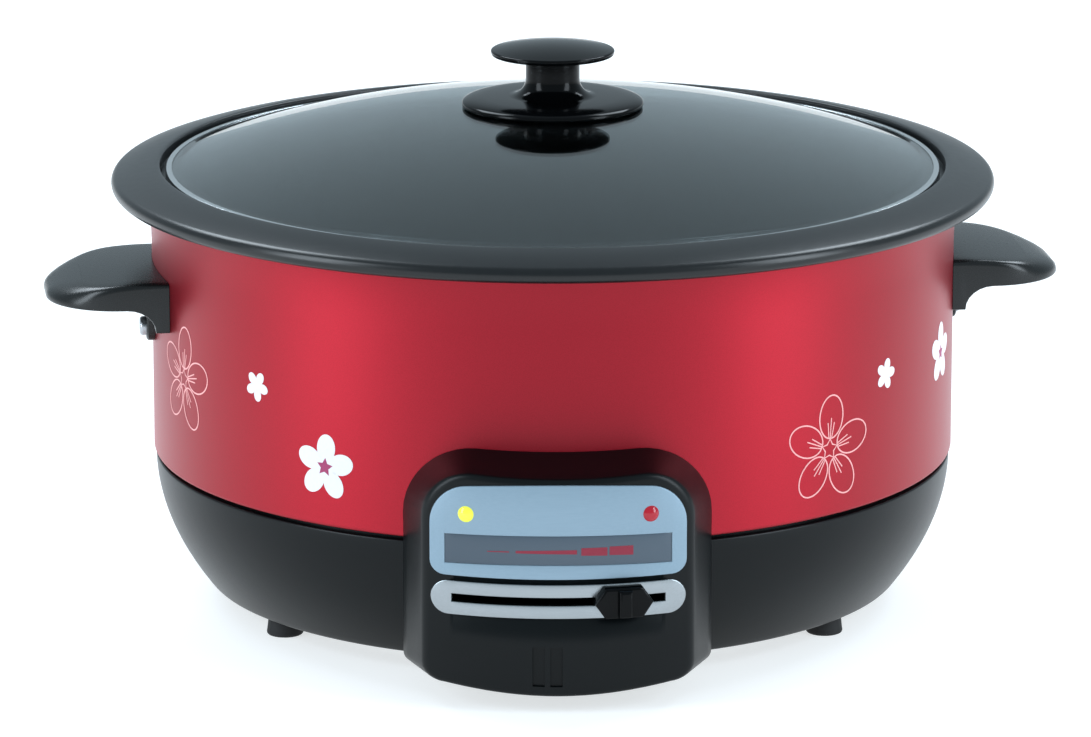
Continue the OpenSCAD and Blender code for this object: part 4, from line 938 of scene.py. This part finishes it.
def control_housing():
    """The outer skin of the housing: its face with the slot and the notches, and the walls round it."""
    columns, places = face_columns()
    xs = [x for x, _ in columns]
    last = len(columns) - 1
    rows = len(columns[0][1]) - 1
    bm = bmesh.new()
    made = {}

    def vert(i, j, depth):
        if (i, j, depth) not in made:
            x, heights = columns[i]
            made[i, j, depth] = bm.verts.new(on_face(x, heights[j], depth))
        return made[i, j, depth]

    def quad(*corners):
        bm.faces.new([vert(*corner) for corner in corners])

    def depth_at(i, j):
        """How deep a cell of the face lies, or nothing where there is no cell."""
        if not (0 <= i < last and 0 <= j < rows):
            return None
        x = (xs[i] + xs[i + 1]) / 2
        if j == SLOT_ROW and abs(x) < SLOT_W / 2:
            return None
        if j == NOTCH_ROW and NOTCH_RIB / 2 < abs(x - NOTCH_X) < NOTCH_W / 2:
            return NOTCH_DEPTH
        return 0.0

    for i in range(last):
        for j in range(rows):
            here = depth_at(i, j)
            if here is None:
                continue
            quad((i, j, here), (i + 1, j, here), (i + 1, j + 1, here), (i, j + 1, here))
            beside = depth_at(i + 1, j)
            if beside is not None and beside != here:
                quad((i + 1, j, here), (i + 1, j, beside), (i + 1, j + 1, beside), (i + 1, j + 1, here))
            above = depth_at(i, j + 1)
            if above is not None and above != here:
                quad((i + 1, j + 1, here), (i + 1, j + 1, above), (i, j + 1, above), (i, j + 1, here))

    def side_line(j):
        """One line of the side wall, level with a row of the face."""
        low_ends = lower(0)
        high_ends = upper(0)
        low_z = edge_point(low_ends).y
        share = (columns[last][1][j] - low_z) / (edge_point(high_ends).y - low_z)
        return low_ends[0].lerp(high_ends[0], share), low_ends[1].lerp(high_ends[1], share)

    lines = [(last, j, side_line(j), Vector((-1, 0))) for j in range(rows + 1)]
    for i in range(last - 1, 0, -1):
        lines.append((i, rows, upper(places[i][0]), way_in(upper, places[i][0])))
    lines += [(0, j, side_line(j), Vector((-1, 0))) for j in range(rows, -1, -1)]
    for i in range(1, last):
        lines.append((i, 0, lower(places[i][1]), way_in(lower, places[i][1])))
    strips = []
    for i, j, ends, way in lines:
        mirror = -1 if xs[i] < 0 else 1
        strip = [vert(i, j, 0.0)]
        for point in wall_points(ends, way):
            strip.append(bm.verts.new((point.x * mirror, point.y, point.z)))
        strips.append(strip)
    for one, two in zip(strips, strips[1:] + strips[:1]):
        for k in range(len(one) - 1):
            bm.faces.new((one[k], two[k], two[k + 1], one[k + 1]))
    bmesh.ops.recalc_face_normals(bm, faces=bm.faces)
    bm.faces.ensure_lookup_table()
    if bm.faces[0].normal.y > 0:
        bmesh.ops.reverse_faces(bm, faces=bm.faces)
    return bm


piece("panel_body", control_housing(), "housing", looks["black_gloss_plastic"], ["control_housing"],
    wall=PANEL_WALL)


# Plates on the face
def on_plate(x, z, depth):
    """A point of a plate that stands proud of the face."""
    return on_face(x, z, depth - PLATE_PROUD)


def on_window(x, z, depth):
    """A point of the window, which is sunk into the plate."""
    return on_face(x, z, depth - PLATE_PROUD + WINDOW_SUNK)


plate_edge = 0.3
fascia_half = FASCIA_W / 2 - plate_edge
fascia_high = FASCIA_TOP - plate_edge
fascia_down = FASCIA_LOW + plate_edge


def window_droop(x):
    """How far the window's lines come down towards its ends."""
    return WINDOW_DROOP * (2 * x / WINDOW_W) ** 2


def fascia_heights(x):
    """The heights where the fascia and its window opening start and end at a place from left to right."""
    x = abs(x)
    arch_middle = FASCIA_ARCH / 3
    high = fascia_high + arch_middle - FASCIA_ARCH * (x / FASCIA_ARCH_X) ** 2
    low = fascia_down
    top_start = fascia_half - FASCIA_TOP_R
    if x > top_start:
        high += math.sqrt(max(0.0, FASCIA_TOP_R ** 2 - (x - top_start) ** 2)) - FASCIA_TOP_R
    low_start = fascia_half - FASCIA_LOW_R
    if x > low_start:
        low -= math.sqrt(max(0.0, FASCIA_LOW_R ** 2 - (x - low_start) ** 2)) - FASCIA_LOW_R
    droop = window_droop(x)
    return [low, max(low, WINDOW_LOW - plate_edge - droop), WINDOW_TOP + plate_edge - droop, high]


window_end = WINDOW_W / 2 + plate_edge
fascia_xs = {window_end}
fascia_xs.update(spread(0, fascia_half - FASCIA_TOP_R, 10))
fascia_xs.update(x for x, _ in arc(fascia_half - FASCIA_TOP_R, 0, FASCIA_TOP_R, 0, 90, 12))
fascia_xs.update(x for x, _ in arc(fascia_half - FASCIA_LOW_R, 0, FASCIA_LOW_R, 0, 90, 6))
fascia_columns = [(x, fascia_heights(x)) for x in both_sides(fascia_xs)]
fascia_cells = column_cells(fascia_columns, lambda x, j: j == 1 and abs(x) < window_end)
solid("fascia", thick_sheet(fascia_cells, on_plate, PLATE_DEPTH, plate_edge), "housing", "silver_blue_plate",
    ["fascia_plate"])
window_edge = 0.15
window_columns = []
for x in spread(-WINDOW_W / 2 + window_edge, WINDOW_W / 2 - window_edge, 24):
    droop = window_droop(x)
    window_columns.append((x, [WINDOW_LOW + window_edge - droop, WINDOW_TOP - window_edge - droop]))
solid("window", thick_sheet(column_cells(window_columns), on_window, PLATE_DEPTH - WINDOW_SUNK, window_edge),
    "housing", "grey_window", ["scale_window"])

slot_round = SLOT_PLATE_H / 2 - plate_edge
slot_middle = SLOT_PLATE_W / 2 - SLOT_PLATE_H / 2
slot_end = SLOT_W / 2 + plate_edge
hair = 0.001
slot_columns = []
slot_xs = [slot_middle + x for x, _ in arc(0, 0, slot_round, 0, 90, 14)] + spread(0, slot_middle, 14)
slot_xs.append(slot_end)
for x in both_sides({round(x, 6) for x in slot_xs}):
    past = max(0.0, abs(x) - slot_middle)
    half = math.sqrt(max(0.0, slot_round ** 2 - past ** 2))
    if abs(x) <= slot_end + hair:
        gap = SLOT_H / 2 + plate_edge
    else:
        gap = half / 3
    slot_columns.append((x, [SLOT_Z - half, SLOT_Z - gap, SLOT_Z + gap, SLOT_Z + half]))
slot_cells = column_cells(slot_columns, lambda x, j: j == 1 and abs(x) < slot_end)
solid("slot_trim", thick_sheet(slot_cells, on_plate, PLATE_DEPTH, plate_edge), "housing", "chrome_plate",
    ["slot_plate"])

# Heat scale printed on the window: a hairline and bars that grow to the right
print_lift = 0.06
scale_z = 61.8
# Each bar: left and right end, half height at either end, and how far it stands above the hairline
scale_bars = ((-26, -18, 0.15, 0.2, 0), (-15.6, 6.7, 0.45, 0.8, 0), (8.3, 17.8, 1.4, 1.55, 0.1),
    (18.6, 27.3, 1.6, 1.75, 0.3))


def on_print(x, z, depth):
    """A point of the print, a little above the window."""
    return on_face(x, z, depth - PLATE_PROUD + WINDOW_SUNK - print_lift)


bar_cells = []
for x_one, x_two, half_one, half_two, rise in scale_bars:
    bar = []
    for x in spread(x_one, x_two, 8):
        half = half_one + (half_two - half_one) * (x - x_one) / (x_two - x_one)
        z = scale_z + rise - window_droop(x)
        bar.append((x, [z - half, z + half]))
    bar_cells += column_cells(bar)
bars = thick_sheet(bar_cells, on_print, 2 * print_lift)
bmesh.ops.recalc_face_normals(bars, faces=bars.faces)
piece("heat_scale", bars, "housing", scale_print)


# Lamp lenses
def lamp_lens(name, side, slot, node):
    """A domed lens through the face, to the left or the right of the middle."""
    dome_r = (LENS_R ** 2 + LENS_DOME ** 2) / (2 * LENS_DOME)
    dome_angle = math.degrees(math.asin(LENS_R / dome_r))
    top = FACE_R + PLATE_PROUD + LENS_DOME
    profile = [(0, FACE_R - PANEL_WALL), (LENS_R, FACE_R - PANEL_WALL)]
    profile += arc(0, top - dome_r, dome_r, 90 - dome_angle, 90, 10)
    profile[-1] = (0, top)
    bm = lathe(profile, closed=False, steps=48)
    outward = Matrix.Rotation(math.radians(90), 4, "X")
    turn = Matrix.Rotation(math.radians(side * LENS_ANGLE), 4, "Z") @ outward
    bmesh.ops.transform(bm, matrix=Matrix.Translation((0, PIVOT_Y, LENS_Z)) @ turn, verts=bm.verts)
    solid(name, bm, "housing", slot, [node])


lamp_lens("lens_yellow", -1, "yellow_lens", "warm_lamp_lens")
lamp_lens("lens_red", 1, "red_lens", "heat_lamp_lens")

# Slider button with its finger ridge
lever_turn = Matrix.Translation((0, PIVOT_Y, 0)) @ Matrix.Rotation(math.radians(LEVER_ANGLE), 4, "Z")
lever_turn = lever_turn @ Matrix.Translation((0, -PIVOT_Y, 0))


def on_slider(x, z, depth):
    return on_face(x, z, depth - SLIDER_R + FACE_R)


def on_ridge(x, z, depth):
    return on_face(x, z, depth - RIDGE_R + FACE_R)


slider_edge = 0.9
point_edge = 1.2 * slider_edge
slider_half = SLIDER_W / 2 - point_edge
shoulder = SLIDER_W / 2 - SLIDER_POINT - slider_edge / 2
slider_columns = []
for x in [-slider_half] + spread(-shoulder, shoulder, 10) + [slider_half]:
    share = min(1.0, (slider_half - abs(x)) / (slider_half - shoulder))
    half = (SLIDER_H / 2 - slider_edge) * share
    slider_columns.append((x, [SLOT_Z - half, SLOT_Z + half]))
button = thick_sheet(column_cells(slider_columns), on_slider, SLIDER_R - SLIDER_IN_R, slider_edge, 4)
ridge_edge = 1.1
ridge_half = RIDGE_W / 2 - ridge_edge
ridge_high = RIDGE_H / 2 - ridge_edge
ridge_columns = [(x, [SLOT_Z - ridge_high, SLOT_Z + ridge_high]) for x in spread(-ridge_half, ridge_half, 3)]
ridge_sunk = 0.5
ridge = thick_sheet(column_cells(ridge_columns), on_ridge, RIDGE_R - SLIDER_R + ridge_sunk, ridge_edge, 4)
join(button, ridge)
bmesh.ops.transform(button, matrix=lever_turn, verts=button.verts)
solid("slider_button", button, "slider", "black_knob_plastic", ["slider_knob"])


# Side handles: an ear that droops towards its tip, with a flare below at the wall and a screw tab
HANDLE_ROOT_X = 153.0
LEAST_SIDE = 0.2


def wall_x(y):
    """Where the wall of the body is, at a place across the handle."""
    return math.sqrt(HANDLE_WALL_R ** 2 - y * y)


def ear_top(x, y):
    """The top side, level at the wall and drooping towards the tip."""
    far = max(0.0, x - SHELL_R)
    return HANDLE_TOP - far * far / (2 * HANDLE_LONG_R) - y * y / (2 * HANDLE_CROSS_R)


def ear_low(x):
    """The underside, which comes down in a flare at the wall."""
    share = min(1.0, max(0.0, (x - HANDLE_FLARE_X) / HANDLE_FLARE_REACH))
    return HANDLE_LOW - HANDLE_FLARE_DROP * (1 - math.sqrt(1 - (1 - share) ** 2))


def top_round(out):
    """How far the top edge is rounded: a little at the sides and more towards the tip."""
    return HANDLE_SIDE_ROUND + (HANDLE_TIP_ROUND - HANDLE_SIDE_ROUND) * out.x ** 2


def ear_stations():
    """Outline points from the wall to the start of the tip, each with its way out."""
    stations = []
    flare_shares = [1 - math.cos(math.radians(angle)) for angle in spread(0, 90, 6)]
    flare_xs = [HANDLE_FLARE_X + HANDLE_FLARE_REACH * share for share in flare_shares]
    for x in [wall_x(HANDLE_HALF), HANDLE_ROOT_X] + flare_xs:
        stations.append((Vector((x, HANDLE_HALF)), Vector((0, 1))))
    middle = Vector((HANDLE_REACH - HANDLE_CORNER, HANDLE_HALF - HANDLE_CORNER))
    for angle in spread(90, 0, 18):
        a = math.radians(angle)
        out = Vector((math.cos(a), math.sin(a)))
        stations.append((middle + out * HANDLE_CORNER, out))
    return stations


def ear_mesh():
    """The ear of one handle, pointing to +X."""
    stations = ear_stations()
    last = len(stations) - 1
    shares = spread(-1, 1, 14)
    bm = bmesh.new()

    def grid(inset_of, height):
        """Rows of points of the top or the underside, inside its rounded edge."""
        made = []
        first_x = stations[0][0].x
        tip_x = stations[last][0].x - inset_of(stations[last][1])
        for index, (point, out) in enumerate(stations):
            edge = point - out * inset_of(out)
            if index == 0:
                edge.x = wall_x(edge.y)
            share_out = (edge.x - first_x) / (tip_x - first_x)
            row = []
            for share in shares:
                y = edge.y * share
                x = edge.x + (wall_x(y) - wall_x(edge.y)) * (1 - share_out)
                row.append(bm.verts.new((x, y, height(x, y))))
            made.append(row)
        return made

    top = grid(top_round, ear_top)
    low = grid(lambda out: HANDLE_LOW_ROUND, lambda x, y: ear_low(x))
    for index in range(last):
        for k in range(len(shares) - 1):
            bm.faces.new((top[index][k], top[index + 1][k], top[index + 1][k + 1], top[index][k + 1]))
            bm.faces.new((low[index][k], low[index][k + 1], low[index + 1][k + 1], low[index + 1][k]))
    around = []
    for index, (point, out) in enumerate(stations):
        around.append((top[index][0], low[index][0], Vector((point.x, -point.y)), out))
    for k in range(1, len(shares) - 1):
        tip = Vector((HANDLE_REACH, top[last][k].co.y))
        around.append((top[last][k], low[last][k], tip, stations[last][1]))
    for index in range(last, -1, -1):
        around.append((top[index][-1], low[index][-1], *stations[index]))
    strips = []
    for high, under, spot, out in around:
        z_top = ear_top(spot.x, spot.y)
        z_low = ear_low(spot.x)
        room = z_top - z_low - HANDLE_LOW_ROUND - LEAST_SIDE
        corner_top = Vector((spot.x, spot.y, z_top))
        side_top = Vector((spot.x, spot.y, z_top - min(top_round(out), room)))
        corner_low = Vector((spot.x, spot.y, z_low))
        side_low = Vector((spot.x, spot.y, z_low + HANDLE_LOW_ROUND))
        between = curve(high.co, corner_top, side_top, EDGE_STEPS)[1:]
        between += curve(side_low, corner_low, under.co, EDGE_STEPS)[:-1]
        strips.append([high] + [bm.verts.new(point) for point in between] + [under])
    for one, two in zip(strips, strips[1:]):
        for k in range(len(one) - 1):
            bm.faces.new((one[k], two[k], two[k + 1], one[k + 1]))
    bmesh.ops.holes_fill(bm, edges=[edge for edge in bm.edges if edge.is_boundary])
    return bm


def add_screw_tab(bm):
    """The tab below the ear, from the wall to its face with a bevelled edge."""
    tab_edge = 0.6
    tab_round = 5.0
    loops = []
    for inset, x in ((0, None), (0, TAB_FACE - tab_edge), (tab_edge, TAB_FACE)):
        half = TAB_W / 2 - inset
        outline = rounded([(-half, TAB_TOP, 0), (-half, TAB_LOW + inset, tab_round),
            (half, TAB_LOW + inset, tab_round), (half, TAB_TOP, 0)])
        loops.append([(wall_x(y) if x is None else x, y, z) for y, z in outline])
    loft(bm, loops)


for name, node, turn in (("handle_right", "right_handle", HANDLE_TURN),
        ("handle_left", "left_handle", HANDLE_TURN + 180)):
    ear = ear_mesh()
    add_screw_tab(ear)
    bmesh.ops.rotate(ear, cent=(0, 0, 0), matrix=Matrix.Rotation(math.radians(turn), 3, "Z"), verts=ear.verts)
    solid(name, ear, "housing", "black_handle_plastic", [node])


# Mains inlet on the back
def block_loop(width, height, radius):
    """A rectangle with rounded corners, as (x, z) from the middle of the inlet."""
    return rounded([(-width / 2, -height / 2, radius), (width / 2, -height / 2, radius),
        (width / 2, height / 2, radius), (-width / 2, height / 2, radius)], 6)


def at_back(loop, y):
    return [(x, y, INLET_Z + z) for x, z in loop]


def behind_base(loop):
    """A loop that lies just under the surface of the base."""
    sunk = 1.0
    return [(x, math.sqrt((bowl_r(INLET_Z + z) - sunk) ** 2 - x * x), INLET_Z + z) for x, z in loop]


def back_edge(width, height, radius, back):
    """Loops that round the edge of a block at its back."""
    loops = []
    for inset, sunk in ((0, 0.9), (0.3, 0.25), (0.9, 0)):
        loop = block_loop(width - 2 * inset, height - 2 * inset, radius - inset)
        loops.append(at_back(loop, back - sunk))
    return loops


inlet_round = 4.0
socket_round = 2.0
mouth_edge = 0.5
mouth_depth = 0.6
bezel_round = 6.0
socket_loop = block_loop(SOCKET_W, SOCKET_H, socket_round)
mouth_loop = block_loop(SOCKET_W + 2 * mouth_edge, SOCKET_H + 2 * mouth_edge, socket_round + mouth_edge)
inlet_loops = [at_back(block_loop(INLET_W, INLET_H, inlet_round), INLET_IN_Y)]
inlet_loops += back_edge(INLET_W, INLET_H, inlet_round, INLET_BACK)
inlet_loops += [at_back(mouth_loop, INLET_BACK), at_back(socket_loop, INLET_BACK - mouth_depth)]
inlet_loops.append(at_back(socket_loop, INLET_BACK - SOCKET_D))
bezel_loops = [behind_base(block_loop(BEZEL_W, BEZEL_H, bezel_round))]
bezel_loops += back_edge(BEZEL_W, BEZEL_H, bezel_round, BEZEL_BACK)
inlet = bmesh.new()
loft(inlet, inlet_loops)
loft(inlet, bezel_loops)
solid("inlet_body", inlet, "housing", "black_gloss_plastic", ["power_inlet"])


# Blossoms printed on the red shell
class Blossom:
    """A five-petalled blossom at an angle from the front and a height, with its own size and turn."""

    def __init__(self, angle, z, size, turn):
        self.angle = math.radians(angle)
        self.z = z
        self.size = size
        self.turn = turn

    def place(self, lift):
        """A function that puts flat points on the shell, lifted a little."""
        def on_shell(u, v, depth):
            radius = SHELL_R + lift - depth
            a = self.angle + u / SHELL_R
            return Vector((radius * math.sin(a), -radius * math.cos(a), self.z + v))
        return on_shell

    def petals(self):
        """The angle of each petal."""
        return [math.radians(self.turn + 72 * k) for k in range(5)]

    def petal_point(self, a, along, side):
        """A point given along a petal's middle line and to its side."""
        u = along * math.cos(a) - side * math.sin(a)
        v = along * math.sin(a) + side * math.cos(a)
        return (u, v)


PETAL_STEPS = 40
PETAL_RINGS = 4
PRINT_DEPTH = 0.14
PRINT_LIFT = 0.07
HEART_LIFT = 0.1
PRINT_LINE = 0.56

# Shares of a blossom's size: a petal's middle, half length and half width, a star's long and short radius
LINE_PETAL = (0.6, 0.4, 0.29)
WHITE_PETAL = (0.58, 0.42, 0.32)
LINE_STAR = (0.19, 0.11)
WHITE_STAR = (0.5, 0.3)
STAMEN_START = 0.2
STAMEN_ENDS = {-0.16: 0.5, 0: 0.58, 0.16: 0.5}
STAMEN_LINE = 0.8 * PRINT_LINE
HEART_SHORT = 0.5


def ribbon(points, width, closed):
    """Flat cells along a path."""
    count = len(points)
    sides = []
    for i, point in enumerate(points):
        before = points[i - 1] if closed or i > 0 else point
        after = points[(i + 1) % count] if closed or i < count - 1 else point
        along = (Vector(after) - Vector(before)).normalized()
        across = Vector((-along.y, along.x)) * (width / 2)
        sides.append((tuple(Vector(point) - across), tuple(Vector(point) + across)))
    cells = []
    for i in range(count if closed else count - 1):
        one = sides[i]
        two = sides[(i + 1) % count]
        cells.append([one[0], two[0], two[1], one[1]])
    return cells


def petal_path(blossom, a, shape, fill=1.0):
    """The outline of a petal at an angle, or a smaller ring inside it."""
    middle, long_half, wide_half = [share * blossom.size for share in shape]
    path = []
    for i in range(PETAL_STEPS):
        b = 2 * math.pi * i / PETAL_STEPS
        along = middle + fill * long_half * math.cos(b)
        path.append(blossom.petal_point(a, along, fill * wide_half * math.sin(b)))
    return path


def filled_petal(blossom, a, shape):
    """Flat cells that fill a petal in rings."""
    paths = [petal_path(blossom, a, shape, fill) for fill in spread(0, 1, PETAL_RINGS)]
    cells = []
    for inner, outer in zip(paths, paths[1:]):
        for i in range(PETAL_STEPS):
            j = (i + 1) % PETAL_STEPS
            cells.append([inner[i], outer[i], outer[j], inner[j]])
    return cells


def star_tips(blossom, long_r, short_r):
    """Corners of a five-pointed star in the middle of a blossom."""
    tips = []
    for k in range(10):
        a = math.radians(blossom.turn + 36 * k)
        r = short_r if k % 2 else long_r
        tips.append((r * math.cos(a), r * math.sin(a)))
    return tips


def star_cells(blossom, long_r, short_r):
    """Flat cells that fill such a star."""
    tips = star_tips(blossom, long_r, short_r)
    return [[(0.0, 0.0), tips[k], tips[(k + 1) % 10]] for k in range(10)]


def print_piece(name, parts, place, look):
    """Joins several flat shapes into one printed piece."""
    whole = bmesh.new()
    for cells in parts:
        part = thick_sheet(cells, place, PRINT_DEPTH)
        bmesh.ops.recalc_face_normals(part, faces=part.faces)
        join(whole, part)
    piece(name, whole, "housing", look)


def line_blossom(name, blossom):
    """A blossom drawn in thin lines, with stamens."""
    r = blossom.size
    parts = []
    for a in blossom.petals():
        parts.append(ribbon(petal_path(blossom, a, LINE_PETAL), PRINT_LINE, True))
        for fan, end in STAMEN_ENDS.items():
            stamen = [blossom.petal_point(a + fan, along * r, 0) for along in spread(STAMEN_START, end, 4)]
            parts.append(ribbon(stamen, STAMEN_LINE, False))
    star = star_tips(blossom, LINE_STAR[0] * r, LINE_STAR[1] * r)
    parts.append(ribbon(star, PRINT_LINE, True))
    print_piece(name, parts, blossom.place(PRINT_LIFT), line_print)


def white_blossom(name, blossom, heart):
    """A blossom filled with white, with a coloured star in its middle where it has a heart."""
    r = blossom.size
    parts = [filled_petal(blossom, a, WHITE_PETAL) for a in blossom.petals()]
    parts.append(star_cells(blossom, WHITE_STAR[0] * r, WHITE_STAR[1] * r))
    print_piece(name, parts, blossom.place(PRINT_LIFT), white_print)
    if heart:
        star = star_cells(blossom, heart, heart * HEART_SHORT)
        print_piece(name + "_heart", [star], blossom.place(HEART_LIFT), pink_print)


line_blossom("blossom_left_line", Blossom(angle=-65.0, z=99.3, size=20.3, turn=84))
white_blossom("blossom_left_small", Blossom(angle=-46.0, z=106.9, size=5.9, turn=60), heart=0)
white_blossom("blossom_left_white", Blossom(angle=-33.7, z=81.3, size=12.6, turn=85), heart=3.6)
line_blossom("blossom_right_line", Blossom(angle=41.0, z=84.4, size=20.6, turn=86))
white_blossom("blossom_right_small", Blossom(angle=53.0, z=107.3, size=6.0, turn=75), heart=0)
white_blossom("blossom_right_white", Blossom(angle=72.0, z=104.5, size=11.8, turn=88), heart=3.2)

# Sensor spring: one coil with closed end turns, which shortens when the sensor is pressed
spring_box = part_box("sensor_spring")
spring_low = spring_box[0][2] / MM + SPRING_WIRE
spring_high = spring_box[1][2] / MM - SPRING_WIRE


def spring_z(turn):
    """The height of the wire's middle after a number of turns."""
    if turn < 1:
        return spring_low + SPRING_FLAT * turn
    if turn > SPRING_TURNS - 1:
        return spring_high - SPRING_FLAT * (SPRING_TURNS - turn)
    share = (turn - 1) / (SPRING_TURNS - 2)
    return spring_low + SPRING_FLAT + (spring_high - spring_low - 2 * SPRING_FLAT) * share


def spring_mesh():
    """A round wire along the coil, closed at both ends."""
    steps = 28
    sides = 10
    bm = bmesh.new()
    hoops = []
    for i in range(SPRING_TURNS * steps + 1):
        a = 2 * math.pi * i / steps
        hoop = []
        for k in range(sides):
            b = 2 * math.pi * k / sides
            r = SPRING_R + SPRING_WIRE * math.cos(b)
            z = spring_z(i / steps) + SPRING_WIRE * math.sin(b)
            hoop.append(bm.verts.new((r * math.cos(a), r * math.sin(a), z)))
        hoops.append(hoop)
    for one, two in zip(hoops, hoops[1:]):
        for k in range(sides):
            n = (k + 1) % sides
            bm.faces.new((one[k], one[n], two[n], two[k]))
    bm.faces.new(hoops[0])
    bm.faces.new(hoops[-1])
    return bm


spring = solid("sensor_coil", spring_mesh(), "housing", "screw_steel", ["sensor_spring"])
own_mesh(spring)

# Floor, light and camera, in metres
floor_size = 30.0
floor_glow = (0.96, 0.99, 1.0, 1)
sky_colour = (0.74, 0.9, 1.0, 1)
sky_strength = 0.56
light_colour = (0.82, 0.92, 1.0)
light_aim = Vector((0, 0, 0.1))
floor_mesh = bpy.data.meshes.new("floor")
floor_mesh.from_pydata([(-floor_size, -floor_size, 0), (floor_size, -floor_size, 0),
    (floor_size, floor_size, 0), (-floor_size, floor_size, 0)], [], [(0, 1, 2, 3)])
floor = bpy.data.objects.new("floor", floor_mesh)
scene.collection.objects.link(floor)
floor_look = finish("floor_look", clouds, 3, (paint(178, 180, 182), paint(184, 186, 188)), (0.9, 0.95),
    {"Emission Color": floor_glow, "Emission Strength": 0.68})
floor.data.materials.append(floor_look)

world = bpy.data.worlds.new("studio")
scene.world = world
world.use_nodes = True
background = world.node_tree.nodes["Background"]
background.inputs["Color"].default_value = sky_colour
background.inputs["Strength"].default_value = sky_strength


def softbox(name, azimuth, distance, height, size, power):
    """A soft rectangular light, at an angle from the front, that looks at the cooker."""
    light = bpy.data.lights.new(name, "AREA")
    light.shape = "RECTANGLE"
    light.size = size[0]
    light.size_y = size[1]
    light.energy = power
    light.color = light_colour
    lamp = bpy.data.objects.new(name, light)
    a = math.radians(azimuth)
    lamp.location = (distance * math.sin(a), -distance * math.cos(a), height)
    aim = light_aim - lamp.location
    lamp.rotation_euler = aim.to_track_quat("-Z", "Y").to_euler()
    scene.collection.objects.link(lamp)


for side, label in ((-1, "left"), (1, "right")):
    softbox(label + "_box", azimuth=side * 62, distance=1.3, height=0.55, size=(0.45, 1.0), power=11)
for side, label in ((-1, "left"), (1, "right")):
    softbox(label + "_top_box", azimuth=side * 130, distance=1.45, height=1.75, size=(1.0, 0.9), power=28)

target = Vector((0, 0, 0.1655))
camera_distance = 2.6
camera_lift = math.radians(12.35)
camera_azimuth = math.radians(-0.71)
photo_width = 1091
photo_height = 737
focal_px = 6739
target_px = (552.8, 169.6)
sensor = 36.0
camera_data = bpy.data.cameras.new("camera")
camera_data.sensor_fit = "HORIZONTAL"
camera_data.sensor_width = sensor
camera_data.lens = focal_px / photo_width * sensor
camera_data.clip_end = 100
camera_data.dof.use_dof = False
camera = bpy.data.objects.new("camera", camera_data)
camera.location = target + camera_distance * Vector((math.sin(camera_azimuth) * math.cos(camera_lift),
    -math.cos(camera_azimuth) * math.cos(camera_lift), math.sin(camera_lift)))
pitch = camera_lift + math.atan((photo_height / 2 - target_px[1]) / focal_px)
heading = camera_azimuth + math.atan((target_px[0] - photo_width / 2) / focal_px)
look = Vector((-math.sin(heading) * math.cos(pitch), math.cos(heading) * math.cos(pitch), -math.sin(pitch)))
camera.rotation_euler = look.to_track_quat("-Z", "Y").to_euler()
scene.collection.objects.link(camera)
scene.camera = camera
scene.view_settings.view_transform = "Standard"
